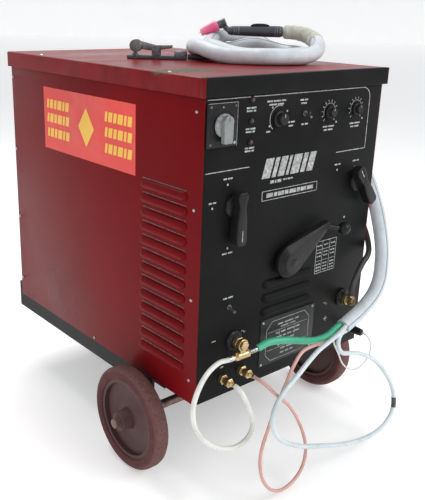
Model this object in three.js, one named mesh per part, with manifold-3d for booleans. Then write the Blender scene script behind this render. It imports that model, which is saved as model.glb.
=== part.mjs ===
// An arc-welding power source on wheels: a sheet-metal cabinet with its controls, gear and hoses.
// Millimetres. X runs to the right of someone facing the front, Y to the back and Z up.
// The origin is on the floor, under the middle of the machine.
import * as THREE from "three";
import { mergeVertices } from "three/addons/utils/BufferGeometryUtils.js";
import Module from "manifold-3d";

const wasm = await Module();
wasm.setup();

// ---------------------------------------------------------------- driving dimensions
const CABINET_WIDTH = 555;
const CABINET_DEPTH = 790;
const CABINET_HEIGHT = 700;
const SHEET = 2;
const FIT_GAP = 0.3;
const LID_OVERHANG = 8;
const LID_SKIRT = 38;
const HOOD_REACH = 9;
const HOOD_LIP = 14;

const WHEEL_RADIUS = 124;
const WHEEL_WIDTH = 42;
const WHEEL_OFFSET = 25; // from the cabinet side to the wheel
const RIM_RADIUS = 96;
const HUB_RADIUS = 24;
const HUB_REACH = 16; // past the outer face of the tyre
const AXLE_RADIUS = 11;
const AXLE_DROP = 94; // below the cabinet floor
const AXLE_SETBACK = 172; // behind the cabinet front
const AXLE_END = 12; // past the hub
const RIM_WALL = 8;
const RIM_INSET = 5; // from the tyre's wall to the rim's edge
const WEB_THICKNESS = 8;
const TYRE_BEAD = 5;
const TYRE_SHOULDER = 10;

const RAIL_WIDTH = 40;
const RAIL_DEPTH = 44;
const RAIL_INSET = 6;
const RAIL_START = 158;
const RAIL_WALL = 3;
const RAIL_CROSS_MARGIN = 8; // of the crossmember past the castor's swing
const BUMPER_DEPTH = 25; // behind the cabinet
const BUMPER_TOP = 32; // above the cabinet floor
const CHEEK_THICKNESS = 6;
const CHEEK_RIM = 3; // ahead of the axle's hole
const CHEEK_FOOT = 11; // under the axle's hole
const CHEEK_TAIL = 46; // behind the axle's middle

const CASTOR_SETBACK = 690;
const CASTOR_RADIUS = 62;
const CASTOR_WIDTH = 32;
const CASTOR_TRAIL = 34;
const CASTOR_PLATE = 5;
const CASTOR_PLATE_HALF = 52;
const CASTOR_RACE_RADIUS = 30;
const CASTOR_RACE_HEIGHT = 8;
const CASTOR_CROWN_HEIGHT = 12;
const CASTOR_LEG = 4;
const CASTOR_SIDE_ROOM = 3; // between the wheel and each leg
const CASTOR_PIN_RADIUS = 5;
const CASTOR_BOSS_RADIUS = 16;
const CASTOR_SIDES = 24;

const LOUVRE_COUNT = 13;
const LOUVRE_PITCH = 32;
const LOUVRE_LENGTH = 156;
const LOUVRE_HEIGHT = 21;
const LOUVRE_REACH = 9;
const LOUVRE_FIRST = [120, 461]; // middle of the top one on a side: Y, Z
const FRONT_LOUVRES = [239, 206, 172];
const FRONT_LOUVRE_LENGTH = 164;
const FRONT_LOUVRE_CENTRE = -6;

// Places on the front panel: X from its middle, Z from the cabinet floor.
const MAIN_SWITCH_AT = [-234.5, 608.5];
const CURRENT_KNOB_AT = [-71, 608];
const SLOPE_KNOB_AT = [92, 610];
const GAS_KNOB_AT = [186, 611];
const LAMPS_AT = [-153, 652, 610, 567];
const MODE_TOGGLE_AT = [8, 613];
const REMOTE_TOGGLE_AT = [-190, 213];
const PROCESS_SELECTOR_AT = [-191, 439];
const POLARITY_SELECTOR_AT = [215, 436];
const RANGE_LEVER_AT = [-24, 288];
const LEFT_TERMINAL_AT = [-171, 129];
const RIGHT_TERMINAL_AT = [203, 138];
const GAS_CONNECTOR_AT = [-144, 48];
const WATER_CONNECTOR_AT = [-202, 45];
const CONTROL_PLUG_AT = [258, 36];

const SHAFT_RADIUS = 4;
const SHAFT_CLEARANCE = 0.6;
const SHAFT_END = 18; // behind the panel's face
const KNOB_STANDOFF = 1;
const LEVER_LENGTH = 163.5;
const LEVER_ANGLE = 19.65; // degrees above the horizontal
const LEVER_STANDOFF = 27; // from the panel to the ball
const BALL_RADIUS = 15;
const LEVER_HUB_RADIUS = 39;
const LEVER_CROWN_RADIUS = 26;
const LEVER_BACK = 11; // from the panel to the back of the grip
const LEVER_FRONT = 33; // from the panel to the front of the grip
const TERMINAL_FLANGE_RADIUS = 23;
const TERMINAL_STUD_RADIUS = 8;
const TERMINAL_REACH = 40;

const SHEATH_DIAMETER = 36;
const POWER_HOSE_DIAMETER = 17;
const WATER_HOSE_DIAMETER = 11;
const GAS_HOSE_DIAMETER = 8;
const TRIGGER_WIRE_DIAMETER = 4;
const RETURN_CABLE_DIAMETER = 14;
const COIL_CENTRE = [134, 283];
const COIL_OUTER_RADIUS = 172;
const COIL_INNER_RADIUS = 99;
const COIL_HEIGHT = 52;
const HANDLE_LENGTH = 140;
const HANDLE_RADIUS = 14;
const TORCH_REST = 2; // between the coil and the handle
const TORCH_HEIGHT = COIL_HEIGHT + HANDLE_RADIUS + TORCH_REST; // axis of the handle above the lid

// ---------------------------------------------------------------- what follows from them
const FLOOR_CLEARANCE = AXLE_DROP + WHEEL_RADIUS;
const FRONT_REACH = LEVER_STANDOFF + 2 * BALL_RADIUS;
const REAR_REACH = 57;
const FRONT_Y = -(CABINET_DEPTH + REAR_REACH - FRONT_REACH) / 2;
const HALF_WIDTH = CABINET_WIDTH / 2;
const PANEL_HALF = HALF_WIDTH - SHEET - FIT_GAP;
const LID_HALF = HALF_WIDTH + LID_OVERHANG;
const LID_BACK = CABINET_DEPTH + LID_OVERHANG;
const LID_UNDERSIDE = CABINET_HEIGHT - SHEET;
const BODY_TOP = LID_UNDERSIDE - FIT_GAP;
const LID_TOP = CABINET_HEIGHT + FIT_GAP; // where things lie on the lid
const WHEEL_INNER = HALF_WIDTH + WHEEL_OFFSET;
const WHEEL_OUTER = WHEEL_INNER + WHEEL_WIDTH;
const FLOOR_Z = -FLOOR_CLEARANCE;
const DEGREE = Math.PI / 180;

// ---------------------------------------------------------------- finishes
const finish = (color, roughness, metalness = 0) =>
  new THREE.MeshStandardMaterial({ color, roughness, metalness });
const RED_PAINT = finish(0x8e1a20, 0.38);
const BLACK_PAINT = finish(0x1c1e1d, 0.5);
const BLACK_PLASTIC = finish(0x141516, 0.45);
const GREY_PLASTIC = finish(0x8d9292, 0.5);
const BRASS = finish(0xc8a05a, 0.35, 1);
const STEEL = finish(0x9a9c9e, 0.35, 1);
const CORE_STEEL = finish(0x4a4d50, 0.55, 0.8);
const COPPER = finish(0xb0683c, 0.4, 1);
const WHEEL_IRON = finish(0x35201f, 0.7);
const TYRE_RUBBER = finish(0x5f3e3e, 0.75);
const SHEATH_VINYL = finish(0xcdd2d7, 0.5);
const GREEN_RUBBER = finish(0x48b48c, 0.45);
const CLEAR_WHITE = finish(0xdfe2e0, 0.35);
const PINK_RUBBER = finish(0xd9aca6, 0.45);
const BLUE_RUBBER = finish(0xa9bcc4, 0.45);
const CANVAS = finish(0xc8c8b4, 0.9);
const PINK_CERAMIC = finish(0xf07896, 0.4);

// ---------------------------------------------------------------- shapes
function solidOf(geometry) {
  const bare = geometry.index ? geometry.toNonIndexed() : geometry.clone();
  bare.deleteAttribute("normal");
  bare.deleteAttribute("uv");
  const merged = mergeVertices(bare, 1e-4);
  return new wasm.Manifold(
    new wasm.Mesh({
      numProp: 3,
      vertProperties: merged.attributes.position.array,
      triVerts: new Uint32Array(merged.index.array),
    }),
  );
}

function geometryOf(solid) {
  const { vertProperties, triVerts } = solid.getMesh();
  const geometry = new THREE.BufferGeometry();
  geometry.setAttribute("position", new THREE.BufferAttribute(vertProperties, 3));
  geometry.setIndex(new THREE.BufferAttribute(triVerts, 1));
  return geometry;
}

const join = (first, ...others) =>
  geometryOf(others.reduce((sum, other) => sum.add(solidOf(other)), solidOf(first)));

const cut = (first, ...tools) =>
  geometryOf(tools.reduce((rest, tool) => rest.subtract(solidOf(tool)), solidOf(first)));

const box = (x0, x1, y0, y1, z0, z1) =>
  new THREE.BoxGeometry(x1 - x0, y1 - y0, z1 - z0).translate(
    (x0 + x1) / 2,
    (y0 + y1) / 2,
    (z0 + z1) / 2,
  );

// A turned solid: the profile is a list of [radius, place along the axis].
function turned(axis, profile, sides = 20, start = Math.PI / sides) {
  const points = profile.map(([radius, along]) => new THREE.Vector2(radius, along));
  const geometry = new THREE.LatheGeometry(points, sides, start);
  if (axis === "x") geometry.rotateZ(-Math.PI / 2);
  if (axis === "z") geometry.rotateX(Math.PI / 2);
  return facingOut(geometry);
}

function facingOut(geometry) {
  if (solidOf(geometry).volume() > 0) return geometry;
  const order = geometry.index.array;
  for (let i = 0; i < order.length; i += 3) {
    [order[i + 1], order[i + 2]] = [order[i + 2], order[i + 1]];
  }
  return geometry;
}

const rod = (axis, radius, from, to, sides = 16) =>
  turned(axis, [[0, from], [radius, from], [radius, to], [0, to]], sides);

const washer = (axis, inner, outer, from, to, sides = 24) =>
  turned(axis, [[inner, from], [outer, from], [outer, to], [inner, to], [inner, from]], sides);

// A flat outline in X and Z with round corners, raised from the panel towards the front.
function raised(halfX, halfZ, corner, depth) {
  const shape = new THREE.Shape();
  shape.moveTo(-halfX + corner, -halfZ);
  shape.lineTo(halfX - corner, -halfZ);
  shape.absarc(halfX - corner, -halfZ + corner, corner, -Math.PI / 2, 0);
  shape.absarc(halfX - corner, halfZ - corner, corner, 0, Math.PI / 2);
  shape.absarc(-halfX + corner, halfZ - corner, corner, Math.PI / 2, Math.PI);
  shape.absarc(-halfX + corner, -halfZ + corner, corner, Math.PI, 1.5 * Math.PI);
  const geometry = new THREE.ExtrudeGeometry(shape, {
    depth,
    bevelEnabled: false,
    curveSegments: 4,
  });
  return geometry.rotateX(Math.PI / 2);
}

// A round tube along a smooth curve through the points.
function tube(points, diameter, sides = 10, pitch = 2.5) {
  const path = new THREE.CatmullRomCurve3(points.map((p) => new THREE.Vector3(...p)));
  const ring = [];
  for (let i = 0; i < sides; i += 1) {
    const angle = (2 * Math.PI * i) / sides;
    const radius = diameter / 2;
    ring.push(new THREE.Vector2(radius * Math.cos(angle), radius * Math.sin(angle)));
  }
  const steps = Math.ceil(path.getLength() / (pitch * diameter));
  return new THREE.ExtrudeGeometry(new THREE.Shape(ring), { steps, extrudePath: path });
}

const group = new THREE.Group();
const cabinet = new THREE.Group();
cabinet.position.set(0, FRONT_Y, FLOOR_CLEARANCE);
group.add(cabinet);

function add(name, geometry, material, position = [0, 0, 0]) {
  const flat = geometry.index ? geometry.toNonIndexed() : geometry;
  flat.computeVertexNormals();
  const mesh = new THREE.Mesh(flat, material);
  mesh.name = name;
  mesh.position.set(...position);
  cabinet.add(mesh);
  return mesh;
}

const onPanel = ([x, z], y = 0) => [x, y, z];

// ---------------------------------------------------------------- sheet metal
// One louvre pressed out of a sheet towards -X, running along Y.
function louvre(length) {
  const shape = new THREE.Shape();
  shape.moveTo(SHEET / 2, LOUVRE_HEIGHT / 2);
  shape.lineTo(0, LOUVRE_HEIGHT / 2);
  shape.lineTo(-LOUVRE_REACH, -LOUVRE_HEIGHT / 4);
  shape.lineTo(-LOUVRE_REACH, -LOUVRE_HEIGHT / 2);
  shape.lineTo(SHEET / 2, -LOUVRE_HEIGHT / 2);
  shape.closePath();
  const bar = new THREE.ExtrudeGeometry(shape, { depth: length, bevelEnabled: false });
  return bar.rotateX(Math.PI / 2).translate(0, length / 2, 0);
}

function leftPanel() {
  const sheet = box(-HALF_WIDTH, -HALF_WIDTH + SHEET, 0, CABINET_DEPTH, 0, BODY_TOP);
  const louvres = [];
  for (let i = 0; i < LOUVRE_COUNT; i += 1) {
    const z = LOUVRE_FIRST[1] - i * LOUVRE_PITCH;
    louvres.push(louvre(LOUVRE_LENGTH).translate(-HALF_WIDTH, LOUVRE_FIRST[0], z));
  }
  return join(sheet, ...louvres);
}

const mirrored = (geometry) => facingOut(geometryOf(solidOf(geometry)).scale(-1, 1, 1));

function panelHole(place, radius) {
  const hole = rod("y", radius, -SHEET, 2 * SHEET, 12);
  return hole.translate(...onPanel(place));
}

function frontPanel() {
  const sheet = box(-PANEL_HALF, PANEL_HALF, 0, SHEET, SHEET + FIT_GAP, BODY_TOP);
  const louvres = FRONT_LOUVRES.map((z) =>
    louvre(FRONT_LOUVRE_LENGTH)
      .rotateZ(Math.PI / 2)
      .translate(FRONT_LOUVRE_CENTRE, 0, z),
  );
  const shafts = [CURRENT_KNOB_AT, SLOPE_KNOB_AT, GAS_KNOB_AT, MAIN_SWITCH_AT];
  const levers = [PROCESS_SELECTOR_AT, POLARITY_SELECTOR_AT, RANGE_LEVER_AT];
  const toggles = [MODE_TOGGLE_AT, REMOTE_TOGGLE_AT];
  const holes = [...shafts, ...levers, ...toggles].map((place) =>
    panelHole(place, SHAFT_RADIUS + SHAFT_CLEARANCE),
  );
  return cut(join(sheet, ...louvres), ...holes);
}

function frontHood() {
  const half = LID_HALF - SHEET - FIT_GAP;
  const low = CABINET_HEIGHT - LID_SKIRT;
  const face = box(-half, half, -HOOD_REACH, -HOOD_REACH + SHEET, low, CABINET_HEIGHT);
  const lip = box(-half, half, -HOOD_REACH, HOOD_LIP - HOOD_REACH, LID_UNDERSIDE, CABINET_HEIGHT);
  const turnedUnder = box(-half, half, -HOOD_REACH, -FIT_GAP, low, low + SHEET);
  return join(face, lip, turnedUnder);
}

function lid() {
  const low = CABINET_HEIGHT - LID_SKIRT;
  const topFront = HOOD_LIP - HOOD_REACH + FIT_GAP;
  const inner = LID_HALF - SHEET;
  const top = box(-LID_HALF, LID_HALF, topFront, LID_BACK, LID_UNDERSIDE, CABINET_HEIGHT);
  const left = box(-LID_HALF, -inner, -HOOD_REACH, LID_BACK, low, CABINET_HEIGHT);
  const right = box(inner, LID_HALF, -HOOD_REACH, LID_BACK, low, CABINET_HEIGHT);
  const back = box(-LID_HALF, LID_HALF, LID_BACK - SHEET, LID_BACK, low, CABINET_HEIGHT);
  return join(top, left, right, back);
}

const FAN_RADIUS = 105;
const FAN_AT = [0, 520];
const GLAND_AT = [-150, 120];
const GAS_INLET_AT = [150, 120];
const GLAND_RADIUS = 16;
const GAS_INLET_RADIUS = 7;

function rearPanel() {
  const back = CABINET_DEPTH;
  const sheet = box(-PANEL_HALF, PANEL_HALF, back - SHEET, back, SHEET + FIT_GAP, BODY_TOP);
  const hole = (place, radius, sides) =>
    rod("y", radius, back - 2 * SHEET, back + SHEET, sides).translate(...onPanel(place));
  const fanHole = hole(FAN_AT, FAN_RADIUS, 24);
  const bar = (turn) =>
    box(-FAN_RADIUS - 8, FAN_RADIUS + 8, back - SHEET, back, -8, 8)
      .rotateY(turn)
      .translate(...onPanel(FAN_AT));
  const open = cut(
    sheet,
    fanHole,
    hole(GLAND_AT, GLAND_RADIUS + FIT_GAP, 16),
    hole(GAS_INLET_AT, GAS_INLET_RADIUS + FIT_GAP, 12),
  );
  return join(open, bar(Math.PI / 4), bar(-Math.PI / 4));
}

function baseTray() {
  const half = PANEL_HALF;
  const front = SHEET + FIT_GAP;
  const back = CABINET_DEPTH - SHEET - FIT_GAP;
  const height = 30;
  const block = box(-half, half, front, back, 0, height);
  return cut(block, box(-half + SHEET, half - SHEET, front + SHEET, back - SHEET, SHEET, height + 1));
}

add("base_tray", baseTray(), BLACK_PAINT);
add("front_panel", frontPanel(), BLACK_PAINT);
add("front_hood", frontHood(), BLACK_PAINT);
add("left_panel", leftPanel(), RED_PAINT);
add("right_panel", mirrored(leftPanel()), RED_PAINT);
add("rear_panel", rearPanel(), RED_PAINT);
add("lid", lid(), RED_PAINT);

// ---------------------------------------------------------------- chassis, axle, wheels and castor
// Two channel rails, a crossmember over the castor, a rear bumper bar and two cheeks for the axle.
function chassisFrame() {
  const top = -FIT_GAP;
  const low = top - RAIL_DEPTH;
  const outer = HALF_WIDTH - RAIL_INSET;
  const inner = outer - RAIL_WIDTH;
  const end = CABINET_DEPTH + BUMPER_DEPTH;
  const bumperStart = CABINET_DEPTH + SHEET / 2;
  const rail = (x0, x1) =>
    cut(
      box(x0, x1, RAIL_START, end, low, top),
      box(x0 + RAIL_WALL, x1 - RAIL_WALL, RAIL_START - 1, end - RAIL_WALL, low - 1, top - RAIL_WALL),
    );
  const bumper = box(-outer, outer, bumperStart, end, low, BUMPER_TOP);
  const crossHalf = CASTOR_RADIUS + RAIL_CROSS_MARGIN;
  const cross = cut(
    box(-inner - 2, inner + 2, CASTOR_SETBACK - crossHalf, CASTOR_SETBACK + crossHalf, low, top),
    box(-inner, inner, CASTOR_SETBACK - crossHalf - 1, CASTOR_SETBACK + crossHalf + 1,
      low + RAIL_WALL, top - RAIL_WALL),
  );
  const cheekFront = AXLE_SETBACK - AXLE_RADIUS - CHEEK_RIM;
  const cheekBack = AXLE_SETBACK + CHEEK_TAIL;
  const cheekFoot = -AXLE_DROP - AXLE_RADIUS - CHEEK_FOOT;
  const cheek = (x0, x1) =>
    cut(
      box(x0, x1, cheekFront, cheekBack, cheekFoot, top - RAIL_WALL - 1),
      rod("x", AXLE_RADIUS + FIT_GAP, x0 - 1, x1 + 1, 24).translate(0, AXLE_SETBACK, -AXLE_DROP),
    );
  return join(
    rail(-outer, -inner),
    rail(inner, outer),
    cross,
    bumper,
    cheek(-outer, -outer + CHEEK_THICKNESS),
    cheek(outer - CHEEK_THICKNESS, outer),
  );
}

const HUB_END = WHEEL_OUTER + HUB_REACH;
const AXLE_HALF = HUB_END + AXLE_END;

function wheel() {
  const bore = AXLE_RADIUS + FIT_GAP;
  const web = WHEEL_INNER + WHEEL_WIDTH / 2;
  const rimIn = WHEEL_INNER + RIM_INSET;
  const rimOut = WHEEL_OUTER - RIM_INSET;
  const well = RIM_RADIUS - RIM_WALL;
  const webHalf = WEB_THICKNESS / 2;
  const profile = [
    [bore, WHEEL_INNER],
    [HUB_RADIUS, WHEEL_INNER],
    [HUB_RADIUS, web - webHalf],
    [well, web - webHalf],
    [well, rimIn],
    [RIM_RADIUS, rimIn],
    [RIM_RADIUS, rimOut],
    [well, rimOut],
    [well, web + webHalf],
    [HUB_RADIUS, web + webHalf],
    [HUB_RADIUS - 2, HUB_END],
    [bore, HUB_END],
    [bore, WHEEL_INNER],
  ];
  return turned("x", profile, 24);
}

// The radius is that of the flats, so that the tyre stands on one of them.
function tyre() {
  const sides = 24;
  const flat = 1 / Math.cos(Math.PI / sides);
  const outer = WHEEL_RADIUS * flat;
  const inner = (RIM_RADIUS + FIT_GAP) * flat;
  const wall = outer - inner;
  const bead = Math.min(TYRE_BEAD, wall / 4);
  const shoulder = Math.min(TYRE_SHOULDER, wall * 0.4);
  const edge = shoulder * 0.3;
  const crown = shoulder * 1.1;
  const profile = [
    [inner, WHEEL_INNER + bead * 0.6],
    [inner + bead, WHEEL_INNER],
    [outer - shoulder, WHEEL_INNER],
    [outer - edge, WHEEL_INNER + shoulder * 0.4],
    [outer, WHEEL_INNER + crown],
    [outer, WHEEL_OUTER - crown],
    [outer - edge, WHEEL_OUTER - shoulder * 0.4],
    [outer - shoulder, WHEEL_OUTER],
    [inner + bead, WHEEL_OUTER],
    [inner, WHEEL_OUTER - bead * 0.6],
    [inner, WHEEL_INNER + bead * 0.6],
  ];
  return turned("x", profile, sides);
}

const AXLE_PLACE = [0, AXLE_SETBACK, -AXLE_DROP];
add("chassis_frame", chassisFrame(), BLACK_PAINT);
add("axle", rod("x", AXLE_RADIUS, -AXLE_HALF, AXLE_HALF, 24), STEEL, AXLE_PLACE);
add("right_wheel", wheel(), WHEEL_IRON, AXLE_PLACE);
add("left_wheel", mirrored(wheel()), WHEEL_IRON, AXLE_PLACE);
add("right_tyre", tyre(), TYRE_RUBBER, AXLE_PLACE);
add("left_tyre", mirrored(tyre()), TYRE_RUBBER, AXLE_PLACE);

const CASTOR_TOP = -RAIL_DEPTH - 2 * FIT_GAP;
const CASTOR_HUB_Z = FLOOR_Z + CASTOR_RADIUS;
const CASTOR_AXLE_Y = CASTOR_SETBACK + CASTOR_TRAIL;

function castorPlate() {
  const size = CASTOR_PLATE_HALF;
  const low = CASTOR_TOP - CASTOR_PLATE;
  const plate = box(-size, size, CASTOR_SETBACK - size, CASTOR_SETBACK + size, low, CASTOR_TOP);
  const race = rod("z", CASTOR_RACE_RADIUS, low - CASTOR_RACE_HEIGHT, low + 1, 20);
  race.translate(0, CASTOR_SETBACK, 0);
  return join(plate, race);
}

function castorFork() {
  const top = CASTOR_TOP - CASTOR_PLATE - CASTOR_RACE_HEIGHT - FIT_GAP;
  const inside = CASTOR_WIDTH / 2 + CASTOR_SIDE_ROOM;
  const outside = inside + CASTOR_LEG;
  const wheelTop = CASTOR_HUB_Z + CASTOR_RADIUS / Math.cos(Math.PI / CASTOR_SIDES);
  const crownLow = Math.max(top - CASTOR_CROWN_HEIGHT, wheelTop + CASTOR_SIDE_ROOM);
  const crown = rod("z", CASTOR_RACE_RADIUS + 3, crownLow, top, 20);
  crown.translate(0, CASTOR_SETBACK, 0);
  const bridge = box(-outside, outside, CASTOR_SETBACK - 20, CASTOR_AXLE_Y, top - 8, top - 2);
  const leg = (x0, x1) =>
    join(
      box(x0, x1, CASTOR_SETBACK - 20, CASTOR_AXLE_Y, top - 30, top - 3),
      box(x0, x1, CASTOR_AXLE_Y - 26, CASTOR_AXLE_Y + 12, CASTOR_HUB_Z - 12, top - 20),
    );
  const pinEnd = outside + 5;
  const pin = rod("x", CASTOR_PIN_RADIUS, -pinEnd, pinEnd, 12);
  pin.translate(0, CASTOR_AXLE_Y, CASTOR_HUB_Z);
  return join(crown, bridge, leg(-outside, -inside), leg(inside, outside), pin);
}

function castorWheel() {
  const half = CASTOR_WIDTH / 2;
  const flat = 1 / Math.cos(Math.PI / CASTOR_SIDES);
  const bore = CASTOR_PIN_RADIUS + FIT_GAP;
  const boss = CASTOR_BOSS_RADIUS;
  const profile = [
    [bore, -half - 2],
    [boss, -half - 2],
    [boss, -half + 4],
    [CASTOR_RADIUS - 16, -half + 4],
    [CASTOR_RADIUS - 14, -half],
    [(CASTOR_RADIUS - 4) * flat, -half],
    [CASTOR_RADIUS * flat, -half + 6],
    [CASTOR_RADIUS * flat, half - 6],
    [(CASTOR_RADIUS - 4) * flat, half],
    [CASTOR_RADIUS - 14, half],
    [CASTOR_RADIUS - 16, half - 4],
    [boss, half - 4],
    [boss, half + 2],
    [bore, half + 2],
    [bore, -half - 2],
  ];
  return turned("x", profile, CASTOR_SIDES);
}

add("castor_plate", castorPlate(), STEEL);
add("castor_fork", castorFork(), STEEL);
add("castor_wheel", castorWheel(), TYRE_RUBBER, [0, CASTOR_AXLE_Y, CASTOR_HUB_Z]);

// ---------------------------------------------------------------- controls on the front panel
const SWITCH_PLATE = 6;
const KNOB_BACK = -KNOB_STANDOFF;

// A knob turned about Y, with the shaft that goes back through the panel.
function knob(radius, height) {
  const skirt = turned("y", [
    [0, KNOB_BACK],
    [radius, KNOB_BACK],
    [radius, KNOB_BACK - 4],
    [radius * 0.8, KNOB_BACK - 6],
    [radius * 0.74, KNOB_BACK - height],
    [0, KNOB_BACK - height],
  ], 20);
  return join(skirt, rod("y", SHAFT_RADIUS, KNOB_BACK - 1, SHAFT_END, 12));
}

function mainSwitchPlate() {
  const plate = raised(39.5, 43.5, 5, SWITCH_PLATE - FIT_GAP).translate(0, -FIT_GAP, 0);
  const bore = rod("y", SHAFT_RADIUS + SHAFT_CLEARANCE, -SWITCH_PLATE - 1, 1, 12);
  return cut(plate, bore);
}

// A round disc with a low grip across it, whose tail points down.
function mainSwitchKnob() {
  const back = -SWITCH_PLATE - KNOB_STANDOFF;
  const disc = turned("y", [
    [0, back],
    [23, back],
    [23, back - 5],
    [20, back - 8],
    [0, back - 8],
  ], 24);
  const grip = rod("y", 12, back - 18, back - 7, 20).translate(0, 0, 8);
  const tail = box(-11, 11, back - 18, back - 7, -34, 8);
  return join(disc, grip, tail, rod("y", SHAFT_RADIUS, back - 1, SHAFT_END, 12));
}

// A long bar handle, with its pivot part of the way along.
function selector(above, below) {
  const bar = raised(15, (above + below) / 2, 12, 26);
  const back = KNOB_BACK - 6;
  bar.translate(0, back, (above - below) / 2);
  const boss = rod("y", 24, back - 2, KNOB_BACK, 20);
  return join(bar, boss, rod("y", SHAFT_RADIUS, KNOB_BACK - 2, SHAFT_END, 12));
}

// A cast grip that tapers from a domed hub to its end, with a neck that leans out to the ball.
function rangeLever() {
  const hub = turned("y", [
    [0, -LEVER_BACK],
    [LEVER_HUB_RADIUS, -LEVER_BACK],
    [LEVER_HUB_RADIUS, -LEVER_BACK - 9],
    [LEVER_CROWN_RADIUS, -LEVER_FRONT],
    [0, -LEVER_FRONT],
  ], 32);
  const end = box(122, 131, 1 - LEVER_FRONT, -LEVER_BACK - 4, 21.8, 35.6);
  const body = geometryOf(wasm.Manifold.hull([solidOf(hub), solidOf(end)]));
  const boss = rod("y", LEVER_CROWN_RADIUS, -LEVER_BACK - 1, KNOB_BACK, 24);
  const ballY = -LEVER_STANDOFF - BALL_RADIUS;
  const neck = tube([[112, -23, 27], [126, -26, 23], [143, -34, 12], [153, -38, 6]], 12, 12, 1);
  const socket = tube([[146, -35.5, 10], [LEVER_LENGTH - BALL_RADIUS + 7, ballY + 2, 4]], 8, 12, 1);
  const shaft = rod("y", SHAFT_RADIUS, KNOB_BACK - 2, SHAFT_END, 12);
  const ballSpace = new THREE.SphereGeometry(BALL_RADIUS + FIT_GAP, 16, 12);
  const lever = cut(join(body, boss, neck, socket), ballSpace.translate(LEVER_LENGTH, ballY, 0));
  return join(lever, shaft).rotateY(-LEVER_ANGLE * DEGREE);
}

function leverBall() {
  return new THREE.SphereGeometry(BALL_RADIUS, 16, 12);
}

function toggle() {
  const bat = turned("y", [[0, -22], [3.5, -20], [2.2, -4], [2.2, 6], [0, 6]], 12);
  return bat.rotateX(16 * DEGREE);
}

add("main_switch_plate", mainSwitchPlate(), BLACK_PLASTIC, onPanel(MAIN_SWITCH_AT));
add("main_switch_knob", mainSwitchKnob(), GREY_PLASTIC, onPanel(MAIN_SWITCH_AT));
add("current_knob", knob(17, 18), BLACK_PLASTIC, onPanel(CURRENT_KNOB_AT));
add("slope_time_knob", knob(14, 15), BLACK_PLASTIC, onPanel(SLOPE_KNOB_AT));
add("gas_time_knob", knob(14, 15), BLACK_PLASTIC, onPanel(GAS_KNOB_AT));
add("process_selector", selector(34, 80), BLACK_PLASTIC, onPanel(PROCESS_SELECTOR_AT));
const POLARITY_TURN = 37 * DEGREE;
const polaritySelector = selector(48, 64).rotateY(-POLARITY_TURN);
add("polarity_selector", polaritySelector, BLACK_PLASTIC, onPanel(POLARITY_SELECTOR_AT));
add("range_lever", rangeLever(), BLACK_PLASTIC, onPanel(RANGE_LEVER_AT));
const BALL_AT = [
  RANGE_LEVER_AT[0] + LEVER_LENGTH * Math.cos(LEVER_ANGLE * DEGREE),
  RANGE_LEVER_AT[1] + LEVER_LENGTH * Math.sin(LEVER_ANGLE * DEGREE),
];
add("range_lever_ball", leverBall(), BLACK_PLASTIC, onPanel(BALL_AT, -LEVER_STANDOFF - BALL_RADIUS));
add("mode_toggle", toggle(), STEEL, onPanel(MODE_TOGGLE_AT));
add("remote_toggle", toggle(), STEEL, onPanel(REMOTE_TOGGLE_AT));
["gas", "power", "fault"].forEach((name, i) => {
  const lens = turned("y", [[0, -FIT_GAP], [6, -FIT_GAP], [6, -3], [4, -6], [0, -7]], 16);
  add(`${name}_lamp`, lens, GREY_PLASTIC, onPanel([LAMPS_AT[0], LAMPS_AT[i + 1]]));
});

// ---------------------------------------------------------------- terminals and connectors
function terminalFlange() {
  return washer("y", TERMINAL_STUD_RADIUS + FIT_GAP, TERMINAL_FLANGE_RADIUS, -10, -FIT_GAP, 20);
}

function terminalStud() {
  return turned("y", [
    [0, -FIT_GAP],
    [TERMINAL_STUD_RADIUS, -FIT_GAP],
    [TERMINAL_STUD_RADIUS, -13],
    [13, -13],
    [13, -22],
    [TERMINAL_STUD_RADIUS - 1, -22],
    [TERMINAL_STUD_RADIUS - 1, -TERMINAL_REACH],
    [0, -TERMINAL_REACH],
  ], 16);
}

// A ring lug on the stud, with a strap down to the cross block that takes a hose at each end.
const LUG_Y = -30;
const LUG_BLOCK = [-172, 105];
const LUG_HALF = 24;
function torchLug() {
  const ring = washer("y", TERMINAL_STUD_RADIUS - 1 + FIT_GAP, 14, LUG_Y - 4, LUG_Y + 4, 16);
  const drop = LUG_BLOCK[1] - LEFT_TERMINAL_AT[1];
  const strap = box(-8, 8, LUG_Y - 4, LUG_Y + 4, drop, -12);
  const shift = LUG_BLOCK[0] - LEFT_TERMINAL_AT[0];
  const block = rod("x", 9, -LUG_HALF, LUG_HALF, 16).translate(shift, LUG_Y, drop);
  return join(ring, strap, block);
}

function hoseConnector() {
  return turned("y", [
    [0, -FIT_GAP],
    [11, -FIT_GAP],
    [11, -12],
    [8, -12],
    [8, -18],
    [10, -18],
    [10, -30],
    [5, -32],
    [5, -44],
    [0, -44],
  ], 16);
}

function controlPlug() {
  return turned("y", [[0, -FIT_GAP], [13, -FIT_GAP], [13, -8], [10, -8], [9, -34], [0, -36]], 16);
}

add("left_terminal_flange", terminalFlange(), BLACK_PLASTIC, onPanel(LEFT_TERMINAL_AT));
add("left_terminal_stud", terminalStud(), BRASS, onPanel(LEFT_TERMINAL_AT));
add("torch_lug", torchLug(), BRASS, onPanel(LEFT_TERMINAL_AT));
add("right_terminal_flange", terminalFlange(), BLACK_PLASTIC, onPanel(RIGHT_TERMINAL_AT));
add("right_terminal_stud", terminalStud(), BRASS, onPanel(RIGHT_TERMINAL_AT));
add("gas_connector", hoseConnector(), BRASS, onPanel(GAS_CONNECTOR_AT));
add("water_connector", hoseConnector(), BRASS, onPanel(WATER_CONNECTOR_AT));
add("control_plug", controlPlug(), BLACK_PLASTIC, onPanel(CONTROL_PLUG_AT));

// ---------------------------------------------------------------- inside the cabinet
const CORE_AT = [0, 330];
const CORE_SIZE = [300, 170, 360];
const CORE_LIMB = 70;
const TRAY_TOP = SHEET + FIT_GAP;

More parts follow.
